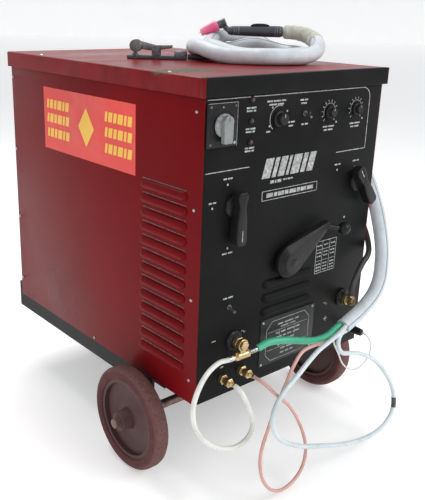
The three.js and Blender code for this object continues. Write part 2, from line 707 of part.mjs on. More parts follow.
// A two-window core of stacked sheets, with a coil around its middle limb.
function transformerCore() {
  const [width, depth, height] = CORE_SIZE;
  const block = box(-width / 2, width / 2, -depth / 2, depth / 2, 0, height);
  const window = (x0, x1) =>
    box(x0, x1, -depth / 2 - 1, depth / 2 + 1, CORE_LIMB, height - CORE_LIMB);
  return cut(
    block,
    window(-width / 2 + CORE_LIMB, -CORE_LIMB / 2),
    window(CORE_LIMB / 2, width / 2 - CORE_LIMB),
  );
}

function transformerWinding() {
  const [, depth, height] = CORE_SIZE;
  const gap = FIT_GAP;
  const half = CORE_LIMB / 2;
  const wall = (CORE_SIZE[0] / 2 - CORE_LIMB - half) - 2;
  const low = CORE_LIMB + gap;
  const high = height - CORE_LIMB - gap;
  const outer = box(-half - wall, half + wall, -depth / 2 - wall, depth / 2 + wall, low, high);
  return cut(outer, box(-half - gap, half + gap, -depth / 2 - gap, depth / 2 + gap, low - 1, high + 1));
}

function rectifierStack() {
  const fins = [box(-60, 60, -6, 6, 0, 160)];
  for (let i = 0; i < 8; i += 1) {
    fins.push(box(-60 + i * 16, -56 + i * 16, -40, 40, 0, 160));
  }
  return join(...fins);
}

function fanMotor() {
  const back = CABINET_DEPTH - SHEET - FIT_GAP;
  const body = rod("y", 38, back - 90, back, 20);
  const shaft = rod("y", 5, back - 118, back - 88, 12);
  return join(body, shaft);
}

function fanBlades() {
  const back = CABINET_DEPTH - SHEET - FIT_GAP - 104;
  const hub = washer("y", 5 + FIT_GAP, 20, back - 12, back + 6, 16);
  const blades = [hub];
  for (let i = 0; i < 5; i += 1) {
    const blade = box(15, FAN_RADIUS - 8, -1, 1, -22, 22).rotateX(28 * DEGREE);
    blades.push(blade.translate(0, back - 3, 0).rotateY((i * 2 * Math.PI) / 5));
  }
  return join(...blades);
}

const CORE_PLACE = [CORE_AT[0], CORE_AT[1], TRAY_TOP];
add("transformer_core", transformerCore(), CORE_STEEL, CORE_PLACE);
add("transformer_winding", transformerWinding(), COPPER, CORE_PLACE);
add("rectifier_stack", rectifierStack(), STEEL, [0, 560, TRAY_TOP]);
add("fan_motor", fanMotor(), BLACK_PAINT, onPanel(FAN_AT));
add("fan_blades", fanBlades(), GREY_PLASTIC, onPanel(FAN_AT));

function rearFitting(radius, reach) {
  const back = CABINET_DEPTH;
  return turned("y", [
    [0, back - 14],
    [radius, back - 14],
    [radius, back + FIT_GAP],
    [radius * 1.5, back + FIT_GAP],
    [radius * 1.5, back + reach * 0.3],
    [radius, back + reach * 0.4],
    [radius * 0.75, back + reach],
    [0, back + reach],
  ], 16);
}

add("mains_gland", rearFitting(GLAND_RADIUS, REAR_REACH), BLACK_PLASTIC, onPanel(GLAND_AT));
add("gas_inlet", rearFitting(GAS_INLET_RADIUS, 34), BRASS, onPanel(GAS_INLET_AT));

// ---------------------------------------------------------------- hoses and cables
// Points were chosen by hand, in the cabinet's own frame.
const POWER_HOSE_ROUTE = [
  [-147, -30, 105], [-128, -30.5, 105.8], [-97, -36, 115], [-62, -46, 114], [-9, -54, 101],
  [36, -59, 90], [82, -60, 89], [118, -57, 98], [134.5, -57, 103.5],
];
const WATER_HOSE_ROUTE = [
  [-197, -30, 105], [-214, -30.5, 105.8], [-244, -36, 112], [-285, -46, 105], [-318, -56, 83],
  [-336, -62, 52], [-336, -66, 14], [-317, -70, -25], [-286, -74, -55], [-254, -77, -73],
  [-222, -80, -79], [-194, -83, -68], [-181, -84.5, -40], [-184, -81, -13], [-191, -76.5, 8],
  [-197.5, -72.5, 25], [-201, -65.5, 37.5], [-202, -56.5, 43.6], [-202, -50, 45],
  [-202, -44.6, 45],
];
const GAS_HOSE_ROUTE = [
  [-144, -44.6, 48], [-144, -64, 47], [-139, -82, 39], [-127, -94, 23], [-108, -98, 4],
  [-85, -101, -19], [-58, -108, -63], [-39, -116, -115], [-38, -122, -149], [-56, -130, -177],
  [-91, -136, -195], [-133, -138, -199], [-168, -136, -181], [-188, -130, -150],
  [-193, -124, -112], [-183, -118, -79], [-166, -114, -48], [-150, -111, -20], [-130, -108, 11],
  [-105, -104, 44], [-77, -98, 77], [-45, -92, 98], [5, -85, 97], [60, -75, 84],
  [118, -62, 83], [134.5, -61, 89],
];
const RETURN_HOSE_ROUTE = [
  [134.5, -72, 104], [118, -74.5, 99], [90, -81, 95], [48, -90, 93], [5, -98, 89],
  [-41, -108, 78], [-87, -118, 63], [-132, -126, 48], [-164, -132, 25], [-177, -136, -4],
  [-168, -140, -39], [-136, -144, -71], [-89, -148, -97], [-23, -150, -123], [47, -150, -149],
  [117, -150, -168], [181, -148, -178], [238, -144, -174], [272, -140, -154], [286, -134, -121],
  [277, -126, -78], [253, -116, -37], [218, -104, 2], [182, -100, 24], [152, -97, 37],
  [126, -93, 43], [108, -89, 48], [98.5, -84.5, 62], [100, -80, 77], [109, -76.5, 87],
  [122, -73.5, 91.3], [134.5, -72, 91],
];
const TRIGGER_WIRE_ROUTE = [
  [134.5, -53, 90], [122, -52.5, 84], [115, -54, 70], [119, -57, 52], [131, -60, 30],
  [151, -64, -7], [189, -66, -34], [233, -64, -36], [262, -62, -15], [267, -60, 10],
  [262, -54, 28], [258, -45, 36], [258, -36.6, 36],
];
const SHEATH_ROUTE = [
  [137, -63, 99], [162, -62.5, 107.5], [192, -62, 118], [222, -61, 132], [252, -60, 153],
  [274, -57, 182], [289, -49, 222], [300, -36, 268], [306, -16, 322], [307, 4, 370],
  [307, 33, 422], [307, 76, 484], [307, 132, 547], [307, 200, 608], [307, 272, 660],
  [306, 338, 697], [300, 392, 724], [284, 428, 740], [258, 446, 747], [222, 447, 749],
  [185, 434, 751], [165, 423, 752],
];
const RETURN_CABLE_ROUTE = [
  [203, -30, 153.2], [204.5, -30, 175], [219, -28, 202], [244, -23, 225], [272, -18, 246],
  [293, 2, 270], [301, 27, 306], [300, 62, 362], [300, 112, 428], [299, 172, 492],
  [299, 242, 552], [298, 320, 606], [298, 396, 651], [298, 456, 687], [297.5, 498, 709],
  [295, 534, 719], [282, 562, 723], [255, 574, 721], [227, 563, 714], [213, 535, 708.8],
  [211, 495, 707.6], [213, 450, 707.6], [211, 405, 707.6], [197, 364, 707.6],
  [167, 329, 707.6], [124, 310, 707.6], [78, 304, 707.6], [28, 319, 707.6],
  [-10, 343, 707.6], [-24.5, 354.3, 707.6],
];

add("power_hose", tube(POWER_HOSE_ROUTE, POWER_HOSE_DIAMETER), GREEN_RUBBER);
add("water_hose", tube(WATER_HOSE_ROUTE, WATER_HOSE_DIAMETER, 8), CLEAR_WHITE);
add("gas_hose", tube(GAS_HOSE_ROUTE, GAS_HOSE_DIAMETER, 8), PINK_RUBBER);
add("return_water_hose", tube(RETURN_HOSE_ROUTE, WATER_HOSE_DIAMETER, 8), BLUE_RUBBER);
add("trigger_wire", tube(TRIGGER_WIRE_ROUTE, TRIGGER_WIRE_DIAMETER, 8, 3), CLEAR_WHITE);

// The lug at the end of the return cable, on the right-hand stud.
const CABLE_LUG_TOP = 14.5;
function cableLug() {
  const ring = washer("y", TERMINAL_STUD_RADIUS - 1 + FIT_GAP, 12, -33, -27, 16);
  return join(ring, rod("z", 7, 9, CABLE_LUG_TOP, 12).translate(0, LUG_Y, 0));
}
add("return_cable_lug", cableLug(), BRASS, onPanel(RIGHT_TERMINAL_AT));

// The coil on the lid: a ring that the turns fill, open underneath where the cable crosses.
const ring = (inner, outer, low, high) =>
  washer("z", inner, outer, low, high, 40).translate(COIL_CENTRE[0], COIL_CENTRE[1], 0);
const COIL_TOP = LID_TOP + COIL_HEIGHT;
const coilSpace = ring(COIL_INNER_RADIUS - FIT_GAP, COIL_OUTER_RADIUS + FIT_GAP, LID_TOP, COIL_TOP + 60);

// Places beside the torch and the clamp: along and across the direction that both lie in.
const LAY_TURN = -44.7 * DEGREE;
function lay(along, across) {
  const [x, y] = COIL_CENTRE;
  const cos = Math.cos(LAY_TURN);
  const sin = Math.sin(LAY_TURN);
  return [x + along * cos - across * sin, y + along * sin + across * cos];
}
const SLEEVE_START = 68;
const TORCH_ACROSS = 60;
const TORCH_Z = LID_TOP + TORCH_HEIGHT;
const SLEEVE_DIAMETER = 33;
const SLEEVE_ROUTE = [
  [...lay(151, 14), TORCH_Z - 21],
  [...lay(141, 36), TORCH_Z - 13],
  [...lay(122, 53), TORCH_Z - 5],
  [...lay(98, TORCH_ACROSS), TORCH_Z - 1],
  [...lay(SLEEVE_START + 1, TORCH_ACROSS), TORCH_Z],
];

function returnCableTunnel() {
  const points = RETURN_CABLE_ROUTE.slice(19);
  const wide = RETURN_CABLE_DIAMETER + 7;
  const roof = points.map(([x, y, z]) => [x, y, z - 1]);
  return tube(roof, wide, 8);
}

const coil = cut(
  ring(COIL_INNER_RADIUS, COIL_OUTER_RADIUS, LID_TOP, COIL_TOP),
  tube(SLEEVE_ROUTE, SLEEVE_DIAMETER + 2 * FIT_GAP, 12, 1),
  returnCableTunnel(),
);
add("torch_coil", coil, SHEATH_VINYL);
add("torch_sheath", cut(tube(SHEATH_ROUTE, SHEATH_DIAMETER), coilSpace), SHEATH_VINYL);
add("return_cable", tube(RETURN_CABLE_ROUTE, RETURN_CABLE_DIAMETER), BLACK_PLASTIC);
add("torch_sleeve", tube(SLEEVE_ROUTE, SLEEVE_DIAMETER, 12, 1), CANVAS);

// ---------------------------------------------------------------- the torch, lying on its coil
const TRIGGER_TRAVEL = 3;
const NOZZLE_DROP = 23 * DEGREE;
const HEAD_AT = [152, 0, 18];

function torchBody() {
  const handle = turned("x", [
    [0, 0],
    [HANDLE_RADIUS, 0],
    [HANDLE_RADIUS, 50],
    [HANDLE_RADIUS - 2, 90],
    [HANDLE_RADIUS - 3, HANDLE_LENGTH],
    [0, HANDLE_LENGTH],
  ], 16);
  const pocket = box(33.5, 83.5, -7, 7, 8, 30);
  const neck = tube([[132, 0, 0], [142, 0, 4], [150, 0, 12], [154, 0, 21]], 13, 12, 1);
  const head = rod("x", 11, -6, 14, 16).rotateY(NOZZLE_DROP).translate(...HEAD_AT);
  return cut(join(handle, neck, head), pocket);
}

function torchNozzle() {
  const cup = turned("x", [[0, 14.5], [14, 14.5], [14, 24], [9.5, 62], [5.5, 62], [6, 30], [0, 30]], 20);
  return cup.rotateY(NOZZLE_DROP).translate(...HEAD_AT);
}

function torchTrigger() {
  const low = 8 + TRIGGER_TRAVEL + FIT_GAP;
  const shape = new THREE.Shape();
  shape.moveTo(34, low);
  shape.lineTo(83, low);
  shape.lineTo(82, 15);
  shape.lineTo(70, 19);
  shape.lineTo(48, 19);
  shape.lineTo(35, 15);
  shape.closePath();
  const lever = new THREE.ExtrudeGeometry(shape, { depth: 12.6, bevelEnabled: false });
  return lever.rotateX(Math.PI / 2).translate(0, 6.3, 0);
}

const torch = new THREE.Group();
torch.position.set(...lay(SLEEVE_START, TORCH_ACROSS), TORCH_Z);
torch.rotation.z = LAY_TURN + Math.PI;
cabinet.add(torch);
torch.add(add("torch_body", torchBody(), BLACK_PLASTIC));
torch.add(add("torch_nozzle", torchNozzle(), PINK_CERAMIC));
torch.add(add("torch_trigger", torchTrigger(), BLACK_PLASTIC));

// ---------------------------------------------------------------- the return clamp, lying on the lid
const CLAMP_LENGTH = 147;
const CLAMP_PIVOT = [72, 26];
const CLAMP_PIN = 3.5;

function clampBase() {
  const bar = box(0, CLAMP_LENGTH, -11, 11, 0, 9);
  const pad = rod("y", 7.5, -11, 11, 16).translate(20, 0, 8);
  const ear = (y0, y1) => box(62, 82, y0, y1, 5, 33);
  const pin = rod("y", CLAMP_PIN, -10, 10, 12).translate(CLAMP_PIVOT[0], 0, CLAMP_PIVOT[1]);
  const socket = rod("x", 11, CLAMP_LENGTH - 30, CLAMP_LENGTH, 16).translate(0, 0, 11);
  const seat = rod("x", RETURN_CABLE_DIAMETER / 2 + FIT_GAP, CLAMP_LENGTH - 8, 200, 16);
  seat.translate(0, 0, RETURN_CABLE_DIAMETER / 2 + FIT_GAP);
  return cut(join(bar, pad, ear(-11, -8), ear(8, 11), pin, socket), seat);
}

function clampJaw() {
  const head = rod("y", 15, -12, 12, 20).translate(22, 0, 31);
  const arm = new THREE.Shape();
  arm.moveTo(26, 24);
  arm.lineTo(64, 20);
  arm.lineTo(110, 27);
  arm.lineTo(112, 34);
  arm.lineTo(72, 33);
  arm.lineTo(30, 43);
  arm.closePath();
  const bar = new THREE.ExtrudeGeometry(arm, { depth: 14, bevelEnabled: false });
  bar.rotateX(Math.PI / 2).translate(0, 7, 0);
  const bore = rod("y", CLAMP_PIN + FIT_GAP, -20, 20, 12);
  return cut(join(head, bar), bore.translate(CLAMP_PIVOT[0], 0, CLAMP_PIVOT[1]));
}

const clamp = new THREE.Group();
clamp.position.set(...lay(-312, -60), LID_TOP);
clamp.rotation.z = LAY_TURN;
cabinet.add(clamp);
clamp.add(add("clamp_base", clampBase(), BLACK_PLASTIC));
clamp.add(add("clamp_jaw", clampJaw(), GREY_PLASTIC));

export default group;
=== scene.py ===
"""The looks of a wheeled arc-welding power source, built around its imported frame."""

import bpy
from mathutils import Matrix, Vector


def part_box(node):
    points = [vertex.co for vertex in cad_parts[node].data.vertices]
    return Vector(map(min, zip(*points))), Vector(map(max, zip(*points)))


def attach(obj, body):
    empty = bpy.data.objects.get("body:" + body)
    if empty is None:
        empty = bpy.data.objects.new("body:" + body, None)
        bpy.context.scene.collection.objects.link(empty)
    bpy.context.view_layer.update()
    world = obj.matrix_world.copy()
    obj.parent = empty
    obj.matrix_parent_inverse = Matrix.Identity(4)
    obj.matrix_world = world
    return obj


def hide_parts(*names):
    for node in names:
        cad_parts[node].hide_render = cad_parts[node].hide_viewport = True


bl_info = {
    "name": "Welding Power Source",
    "version": (1, 0, 0),
    "blender": (4, 5, 0),
    "location": "View3D > Sidebar > Welder",
    "description": "Builds the hoses, fittings and finishes of a wheeled arc-welding power source",
    "category": "Object",
}

import math

import bmesh
import bpy
from mathutils import Matrix, Vector

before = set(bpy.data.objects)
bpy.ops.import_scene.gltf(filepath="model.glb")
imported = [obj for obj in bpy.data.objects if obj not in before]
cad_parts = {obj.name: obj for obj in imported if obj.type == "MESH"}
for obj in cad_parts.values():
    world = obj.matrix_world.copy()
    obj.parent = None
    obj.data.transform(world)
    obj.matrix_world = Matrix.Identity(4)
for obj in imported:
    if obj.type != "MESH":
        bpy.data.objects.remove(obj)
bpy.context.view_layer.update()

# Pieces are modelled in millimetres from the middle of the cabinet's front edge: X to the
# right, Y to the back, Z up from the cabinet floor.
SIDE_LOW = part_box("left_panel")[0]
CABINET = Matrix.Translation((0, SIDE_LOW[1], SIDE_LOW[2])) @ Matrix.Scale(0.001, 4)
LID_TOP = 700.3
LAY_TURN = math.radians(-44.7)
COIL_CENTRE = Vector((134, 283, 0))
LAY = Matrix.Translation(COIL_CENTRE) @ Matrix.Rotation(LAY_TURN, 4, "Z")
TORCH = LAY @ Matrix.Translation((69, 60, 768.3)) @ Matrix.Rotation(math.pi, 4, "Z")
CLAMP = LAY @ Matrix.Translation((-312, -60, LID_TOP))
AXLE = (0, 172, -94)
CASTOR_HUB = (0, 724, -156)
SIDE_FACE = 277.5
REAR_FACE = 790
SHEET = 2
FAN_HEIGHT = 520

# Places on the front panel, as X and Z.
MAIN_SWITCH = (-234.5, 608.5)
CURRENT_KNOB = (-71, 608)
SLOPE_KNOB = (92, 610)
GAS_KNOB = (186, 611)
PROCESS_SELECTOR = (-191, 439)
POLARITY_SELECTOR = (215, 436)
RANGE_LEVER = (-24, 288)
MODE_TOGGLE = (8, 613)
REMOTE_TOGGLE = (-190, 213)
LEFT_TERMINAL = (-171, 129)
RIGHT_TERMINAL = (203, 138)
GAS_SOCKET = (-144, 48)
WATER_SOCKET = (-202, 45)
CONTROL_SOCKET = (258, 36)
LAMP_COLUMN = -153
LAMP_HEIGHTS = {"gas": 652, "power": 610, "fault": 567}

# Where the scuffed tread begins on each wheel, as a radius in metres.
TREAD_RADIUS = 0.118
CASTOR_TREAD_RADIUS = 0.058


# ---------------------------------------------------------------- settings
def colour(name, description, value):
    return bpy.props.FloatVectorProperty(
        name=name, description=description, default=value, size=3, subtype="COLOR", min=0, max=1
    )


def thickness(name, description, value):
    return bpy.props.FloatProperty(
        name=name, description=description, default=value, min=0.002, max=0.06, unit="LENGTH"
    )


def power(name, description, value):
    return bpy.props.FloatProperty(
        name=name, description=description, default=value, min=0, unit="POWER"
    )


def strength(name, description, value):
    return bpy.props.FloatProperty(
        name=name, description=description, default=value, min=0, max=5
    )


class FinishSettings(bpy.types.PropertyGroup):
    """Colours of the painted and moulded parts."""

    red: colour("Cabinet red", "Enamel of the sides, back and lid", (0.160, 0.0040, 0.0062))
    black: colour("Panel black", "Enamel of the front panel and chassis", (0.0085, 0.0088, 0.0086))
    print_tone: colour("Print", "Screen-printed marks on the panel", (0.42, 0.43, 0.42))
    decal_red: colour("Decal red", "Field of the side decal", (0.72, 0.045, 0.035))
    decal_yellow: colour("Decal yellow", "Emblem of the side decal", (0.86, 0.50, 0.06))
    brass: colour("Brass", "Terminals and hose fittings", (0.66, 0.50, 0.27))
    tyre: colour("Tyre", "Worn rubber of the wheels", (0.078, 0.028, 0.028))
    green: colour("Power hose", "Rubber of the power hose", (0.055, 0.42, 0.25))


class HoseSettings(bpy.types.PropertyGroup):
    """Sizes of the torch hoses."""

    sheath: thickness("Torch cover", "Diameter of the cover around the torch hoses", 0.036)
    power: thickness("Power hose", "Diameter of the water-cooled power hose", 0.017)
    water: thickness("Water hose", "Diameter of the two water hoses", 0.011)
    gas: thickness("Gas hose", "Diameter of the gas hose", 0.008)
    wire: thickness("Trigger wire", "Diameter of the trigger wire", 0.004)
    cable: thickness("Return cable", "Diameter of the return cable", 0.014)


class StageSettings(bpy.types.PropertyGroup):
    """The floor and the light."""

    key: power("Key light", "Power of the large light on the right", 80)
    fill: power("Fill light", "Power of the light on the left", 24)
    sky: strength("Surround", "Strength of the even surrounding light", 0.55)
    glow: strength("Floor glow", "Light that the pale floor gives off", 0.30)
    lens: bpy.props.FloatProperty(
        name="Focal length", description="Focal length of the camera", default=50.86, min=10, max=200,
        unit="CAMERA",
    )


def finishes():
    return bpy.context.scene.welder_finish


def hoses():
    return bpy.context.scene.welder_hoses


# ---------------------------------------------------------------- materials
class Nodes:
    """A short way to lay out the nodes of one material."""

    def __init__(self, name):
        self.material = bpy.data.materials.new(name)
        self.material.use_nodes = True
        self.tree = self.material.node_tree
        self.shader = self.tree.nodes["Principled BSDF"]
        self.coords = self.add("ShaderNodeTexCoord")

    def add(self, kind, **values):
        node = self.tree.nodes.new(kind)
        for key, value in values.items():
            if key.startswith("in_"):
                node.inputs[int(key[3:])].default_value = value
            else:
                setattr(node, key, value)
        return node

    def link(self, source, target):
        self.tree.links.new(source, target)

    def noise(self, scale, detail=4.0, rough=0.55, coords="Object", stretch=None):
        node = self.add("ShaderNodeTexNoise")
        node.inputs["Scale"].default_value = scale
        node.inputs["Detail"].default_value = detail
        node.inputs["Roughness"].default_value = rough
        source = self.coords.outputs[coords]
        if stretch:
            mapping = self.add("ShaderNodeMapping")
            mapping.inputs["Scale"].default_value = stretch
            self.link(source, mapping.inputs["Vector"])
            source = mapping.outputs["Vector"]
        self.link(source, node.inputs["Vector"])
        return node.outputs["Fac"]

    def span(self, value, low, high, to_low=0.0, to_high=1.0):
        node = self.add("ShaderNodeMapRange")
        self.link(value, node.inputs["Value"])
        for key, number in zip(("From Min", "From Max", "To Min", "To Max"), (low, high, to_low, to_high)):
            node.inputs[key].default_value = number
        return node.outputs["Result"]

    def maths(self, operation, first, second):
        node = self.add("ShaderNodeMath", operation=operation)
        for socket, value in zip(node.inputs, (first, second)):
            if isinstance(value, (int, float)):
                socket.default_value = value
            else:
                self.link(value, socket)
        return node.outputs["Value"]

    def blend(self, factor, first, second):
        node = self.add("ShaderNodeMix", data_type="RGBA")
        self.link(factor, node.inputs["Factor"])
        for socket, value in ((node.inputs[6], first), (node.inputs[7], second)):
            if isinstance(value, tuple):
                socket.default_value = (*value[:3], 1)
            else:
                self.link(value, socket)
        return node.outputs[2]

    def attribute(self, name):
        return self.add("ShaderNodeAttribute", attribute_name=name).outputs["Fac"]

    def bump(self, height, strength, distance, after=None):
        node = self.add("ShaderNodeBump")
        node.inputs["Strength"].default_value = strength
        node.inputs["Distance"].default_value = distance
        self.link(height, node.inputs["Height"])
        if after:
            self.link(after, node.inputs["Normal"])
        return node.outputs["Normal"]

    def finish(self, colour, roughness, normal=None, metal=0.0, **sockets):
        shader = self.shader.inputs
        for key, value in (("Base Color", colour), ("Roughness", roughness), ("Normal", normal)):
            if isinstance(value, tuple):
                shader[key].default_value = (*value[:3], 1)
            elif isinstance(value, (int, float)):
                shader[key].default_value = value
            elif value is not None:
                self.link(value, shader[key])
        shader["Metallic"].default_value = metal
        for key, value in sockets.items():
            shader[key.replace("_", " ")].default_value = value
        return self.material


def tone(colour, factor):
    return tuple(min(1.0, c * factor) for c in colour[:3])


def enamel(name, colour, rough, dust=(0.30, 0.27, 0.25), dirt=0.25, level=0.5, index=1.5):
    """Sprayed enamel on sheet steel: orange peel, soft cloudiness and a film of workshop dust."""
    n = Nodes(name)
    patches = n.noise(3.2, 5, 0.5)
    body = n.blend(n.span(patches, 0.3, 0.72), tone(colour, 0.84), tone(colour, 1.18))
    film = n.maths("MULTIPLY", n.span(n.noise(10, 8, 0.62), 0.5, 0.8), dirt)
    body = n.blend(film, body, dust)
    scratches = n.span(n.noise(70, 4, 0.6, stretch=(1, 1, 0.12)), 0.74, 0.79)
    body = n.blend(n.maths("MULTIPLY", scratches, 0.5), body, tone(colour, 1.9))
    cloudy = n.span(patches, 0.3, 0.7, rough - 0.05, rough + 0.08)
    roughness = n.maths("ADD", cloudy, n.maths("MULTIPLY", film, 0.5))
    normal = n.bump(n.noise(420, 2), 0.08, 0.0004)
    normal = n.bump(n.noise(2.2, 2), 0.25, 0.006, normal)
    return n.finish(body, roughness, normal, Specular_IOR_Level=level, IOR=index)


def moulded(name, colour, rough, edge_scuff_and_sheen=(0.16, 0.16, 0.16), level=0.5):
    """Moulded plastic or rubber with a fine grain; its sharp edges are lightened, partly as scuffing and partly
    as a painted highlight.
    """
    n = Nodes(name)
    patches = n.noise(26, 5, 0.6)
    body = n.blend(n.span(patches, 0.3, 0.75), tone(colour, 0.85), tone(colour, 1.3))
    # Lightens the marked edges: partly scuffing, partly a painted highlight standing in for the sheen on
    # rounded edges.
    edge = n.maths("MULTIPLY", n.attribute("edge"), n.span(n.noise(160, 3), 0.35, 0.65))
    body = n.blend(edge, body, edge_scuff_and_sheen)
    roughness = n.span(patches, 0.3, 0.7, rough - 0.08, rough + 0.1)
    normal = n.bump(n.noise(600, 2), 0.12, 0.0003)
    return n.finish(body, roughness, normal, Specular_IOR_Level=level)


def bare_metal(name, colour, rough, tarnish, amount=0.5, brushed=(1, 1, 1)):
    """Machined or plated metal, tarnished in patches."""
    n = Nodes(name)
    patches = n.noise(55, 6, 0.65)
    body = n.blend(n.maths("MULTIPLY", n.span(patches, 0.42, 0.72), amount), tone(colour, 1.0), tarnish)
    roughness = n.span(patches, 0.3, 0.75, rough - 0.06, rough + 0.2)
    normal = n.bump(n.noise(900, 2, stretch=brushed), 0.18, 0.0002)
    return n.finish(body, roughness, normal, metal=1.0)


def hose_skin(name, colour, stain, rough, coat=0.0):
    """Hose wall: a slight sheen, stained in patches."""
    n = Nodes(name)
    patches = n.noise(18, 6, 0.6)
    marks = n.maths("MULTIPLY", n.span(patches, 0.48, 0.7), 0.5)
    body = n.blend(marks, tone(colour, 1.0), stain)
    roughness = n.span(patches, 0.3, 0.75, rough - 0.07, rough + 0.15)
    normal = n.bump(n.noise(260, 3), 0.15, 0.0004)
    return n.finish(body, roughness, normal, Coat_Weight=coat)


def make_finishes():
    """Makes each material once, under the name that the pieces ask for."""
    f = finishes()
    red, black = tuple(f.red), tuple(f.black)
    return {
        "red_enamel": enamel("red_enamel", red, 0.30, (0.13, 0.014, 0.015), 0.2, index=1.17),
        "lid_enamel": lid_enamel(red),
        "black_enamel": enamel("black_enamel", black, 0.42, (0.03, 0.029, 0.028), 0.25, index=1.15),
        "frame_enamel": enamel("frame_enamel", black, 0.55, (0.10, 0.075, 0.06), 0.6, level=0.3),
        # For each moulded finish the last colour is what its sharp edges turn to: partly scuffing, partly a
        # painted highlight.
        "print": moulded("panel_print", tuple(f.print_tone), 0.6, (0.2, 0.2, 0.2)),
        "decal_field": enamel("decal_field", tuple(f.decal_red), 0.34, (0.9, 0.5, 0.45), 0.15),
        "decal_emblem": enamel("decal_emblem", tuple(f.decal_yellow), 0.34, (0.9, 0.8, 0.6), 0.15),
        "black_plastic": moulded(
            "black_plastic", (0.010, 0.010, 0.011), 0.36, (0.024, 0.024, 0.026), level=0.2
        ),
        "grey_plastic": moulded("grey_plastic", (0.19, 0.20, 0.20), 0.45, (0.36, 0.36, 0.36)),
        "steel": bare_metal("plated_steel", (0.55, 0.55, 0.56), 0.3, (0.16, 0.12, 0.09)),
        "alloy": bare_metal("alloy", (0.72, 0.72, 0.73), 0.32, (0.35, 0.35, 0.35)),
        "brass": bare_metal("brass", tuple(f.brass), 0.3, (0.26, 0.19, 0.10), 0.7),
        "copper": bare_metal("winding_copper", (0.65, 0.27, 0.12), 0.4, (0.2, 0.07, 0.03), 0.6),
        "core": enamel("core_steel", (0.09, 0.095, 0.10), 0.5, dirt=0.3),
        "hub_iron": enamel("hub_iron", (0.075, 0.030, 0.029), 0.62, (0.16, 0.09, 0.08), 0.7),
        "axle_steel": bare_metal("axle_steel", (0.30, 0.22, 0.20), 0.5, (0.12, 0.06, 0.045), 0.9),
        "dull_steel": bare_metal("dull_steel", (0.20, 0.20, 0.20), 0.45, (0.09, 0.09, 0.08), 0.8),
        "seam": moulded("seam_vinyl", (0.30, 0.35, 0.38), 0.5, (0.4, 0.4, 0.4)),
        "tyre": tyre_rubber(tuple(f.tyre)),
        "green": hose_skin("power_hose_rubber", tuple(f.green), (0.03, 0.26, 0.16), 0.4),
        "clear": hose_skin("clear_hose_wall", (0.74, 0.75, 0.70), (0.42, 0.40, 0.34), 0.3, coat=0.4),
        "pink": hose_skin("gas_hose_wall", (0.64, 0.36, 0.31), (0.30, 0.13, 0.10), 0.35, coat=0.2),
        "blue": hose_skin("return_hose_wall", (0.60, 0.68, 0.71), (0.40, 0.44, 0.45), 0.35, coat=0.2),
        "cable": hose_skin("cable_rubber", (0.028, 0.028, 0.029), (0.09, 0.085, 0.08), 0.55),
        "sheath": sheath_vinyl(),
        "canvas": canvas_weave(),
        "handle": moulded("handle_plastic", (0.040, 0.045, 0.055), 0.36, (0.2, 0.2, 0.22)),
        "ceramic": moulded("pink_ceramic", (0.80, 0.10, 0.24), 0.25, (0.9, 0.5, 0.55)),
        "lamp": moulded("lamp_lens", (0.055, 0.018, 0.017), 0.2, (0.1, 0.05, 0.05)),
        "tape": moulded("black_tape", (0.02, 0.02, 0.02), 0.5),
        "label": enamel("rating_label", (0.014, 0.015, 0.0145), 0.4, (0.07, 0.07, 0.07), 0.3, level=0.3),
    }


def lid_enamel(red):
    """The lid's enamel, with a scraped, greenish smudge near its front left corner."""
    n = Nodes("lid_enamel")
    patches = n.noise(5, 6, 0.6, stretch=(1, 2.5, 1))
    body = n.blend(n.span(patches, 0.35, 0.7), tone(red, 0.9), tone(red, 1.4))
    dust = n.maths("MULTIPLY", n.span(n.noise(9, 8, 0.7), 0.5, 0.8), 0.3)
    body = n.blend(dust, body, (0.32, 0.06, 0.06))
    mapping = n.add("ShaderNodeMapping")
    mapping.inputs["Location"].default_value = (0.212, 0.262, -0.918)
    n.link(n.coords.outputs["Object"], mapping.inputs["Vector"])
    squeeze = n.add("ShaderNodeMapping")
    squeeze.inputs["Scale"].default_value = (7.5, 19, 60)
    n.link(mapping.outputs["Vector"], squeeze.inputs["Vector"])
    ball = n.add("ShaderNodeTexGradient", gradient_type="SPHERICAL")
    n.link(squeeze.outputs["Vector"], ball.inputs["Vector"])
    worn = n.maths("MULTIPLY", ball.outputs["Fac"], n.span(n.noise(60, 6, 0.7), 0.35, 0.6))
    smudge = n.span(worn, 0.12, 0.3)
    body = n.blend(smudge, body, (0.085, 0.10, 0.06))
    film = n.span(patches, 0.3, 0.7, 0.26, 0.42)
    roughness = n.maths("ADD", film, n.maths("MULTIPLY", smudge, 0.3))
    normal = n.bump(n.noise(420, 2), 0.1, 0.0004)
    normal = n.bump(patches, 0.2, 0.004, normal)
    return n.finish(body, roughness, normal, IOR=1.22)


def tyre_rubber(colour):
    """Solid tyre: dusty, scuffed pale along the tread."""
    n = Nodes("tyre_rubber")
    patches = n.noise(24, 8, 0.7)
    fine = n.noise(210, 4, 0.7)
    body = n.blend(n.span(patches, 0.3, 0.7), tone(colour, 0.7), tone(colour, 1.7))
    worn = n.maths("MULTIPLY", n.attribute("tread"), n.span(fine, 0.25, 0.6))
    body = n.blend(worn, body, (0.16, 0.08, 0.075))
    body = n.blend(n.span(fine, 0.63, 0.7), body, (0.22, 0.15, 0.14))
    normal = n.bump(fine, 0.5, 0.0012)
    normal = n.bump(patches, 0.35, 0.004, normal)
    return n.finish(body, n.span(patches, 0.3, 0.7, 0.62, 0.88), normal, Specular_IOR_Level=0.2)


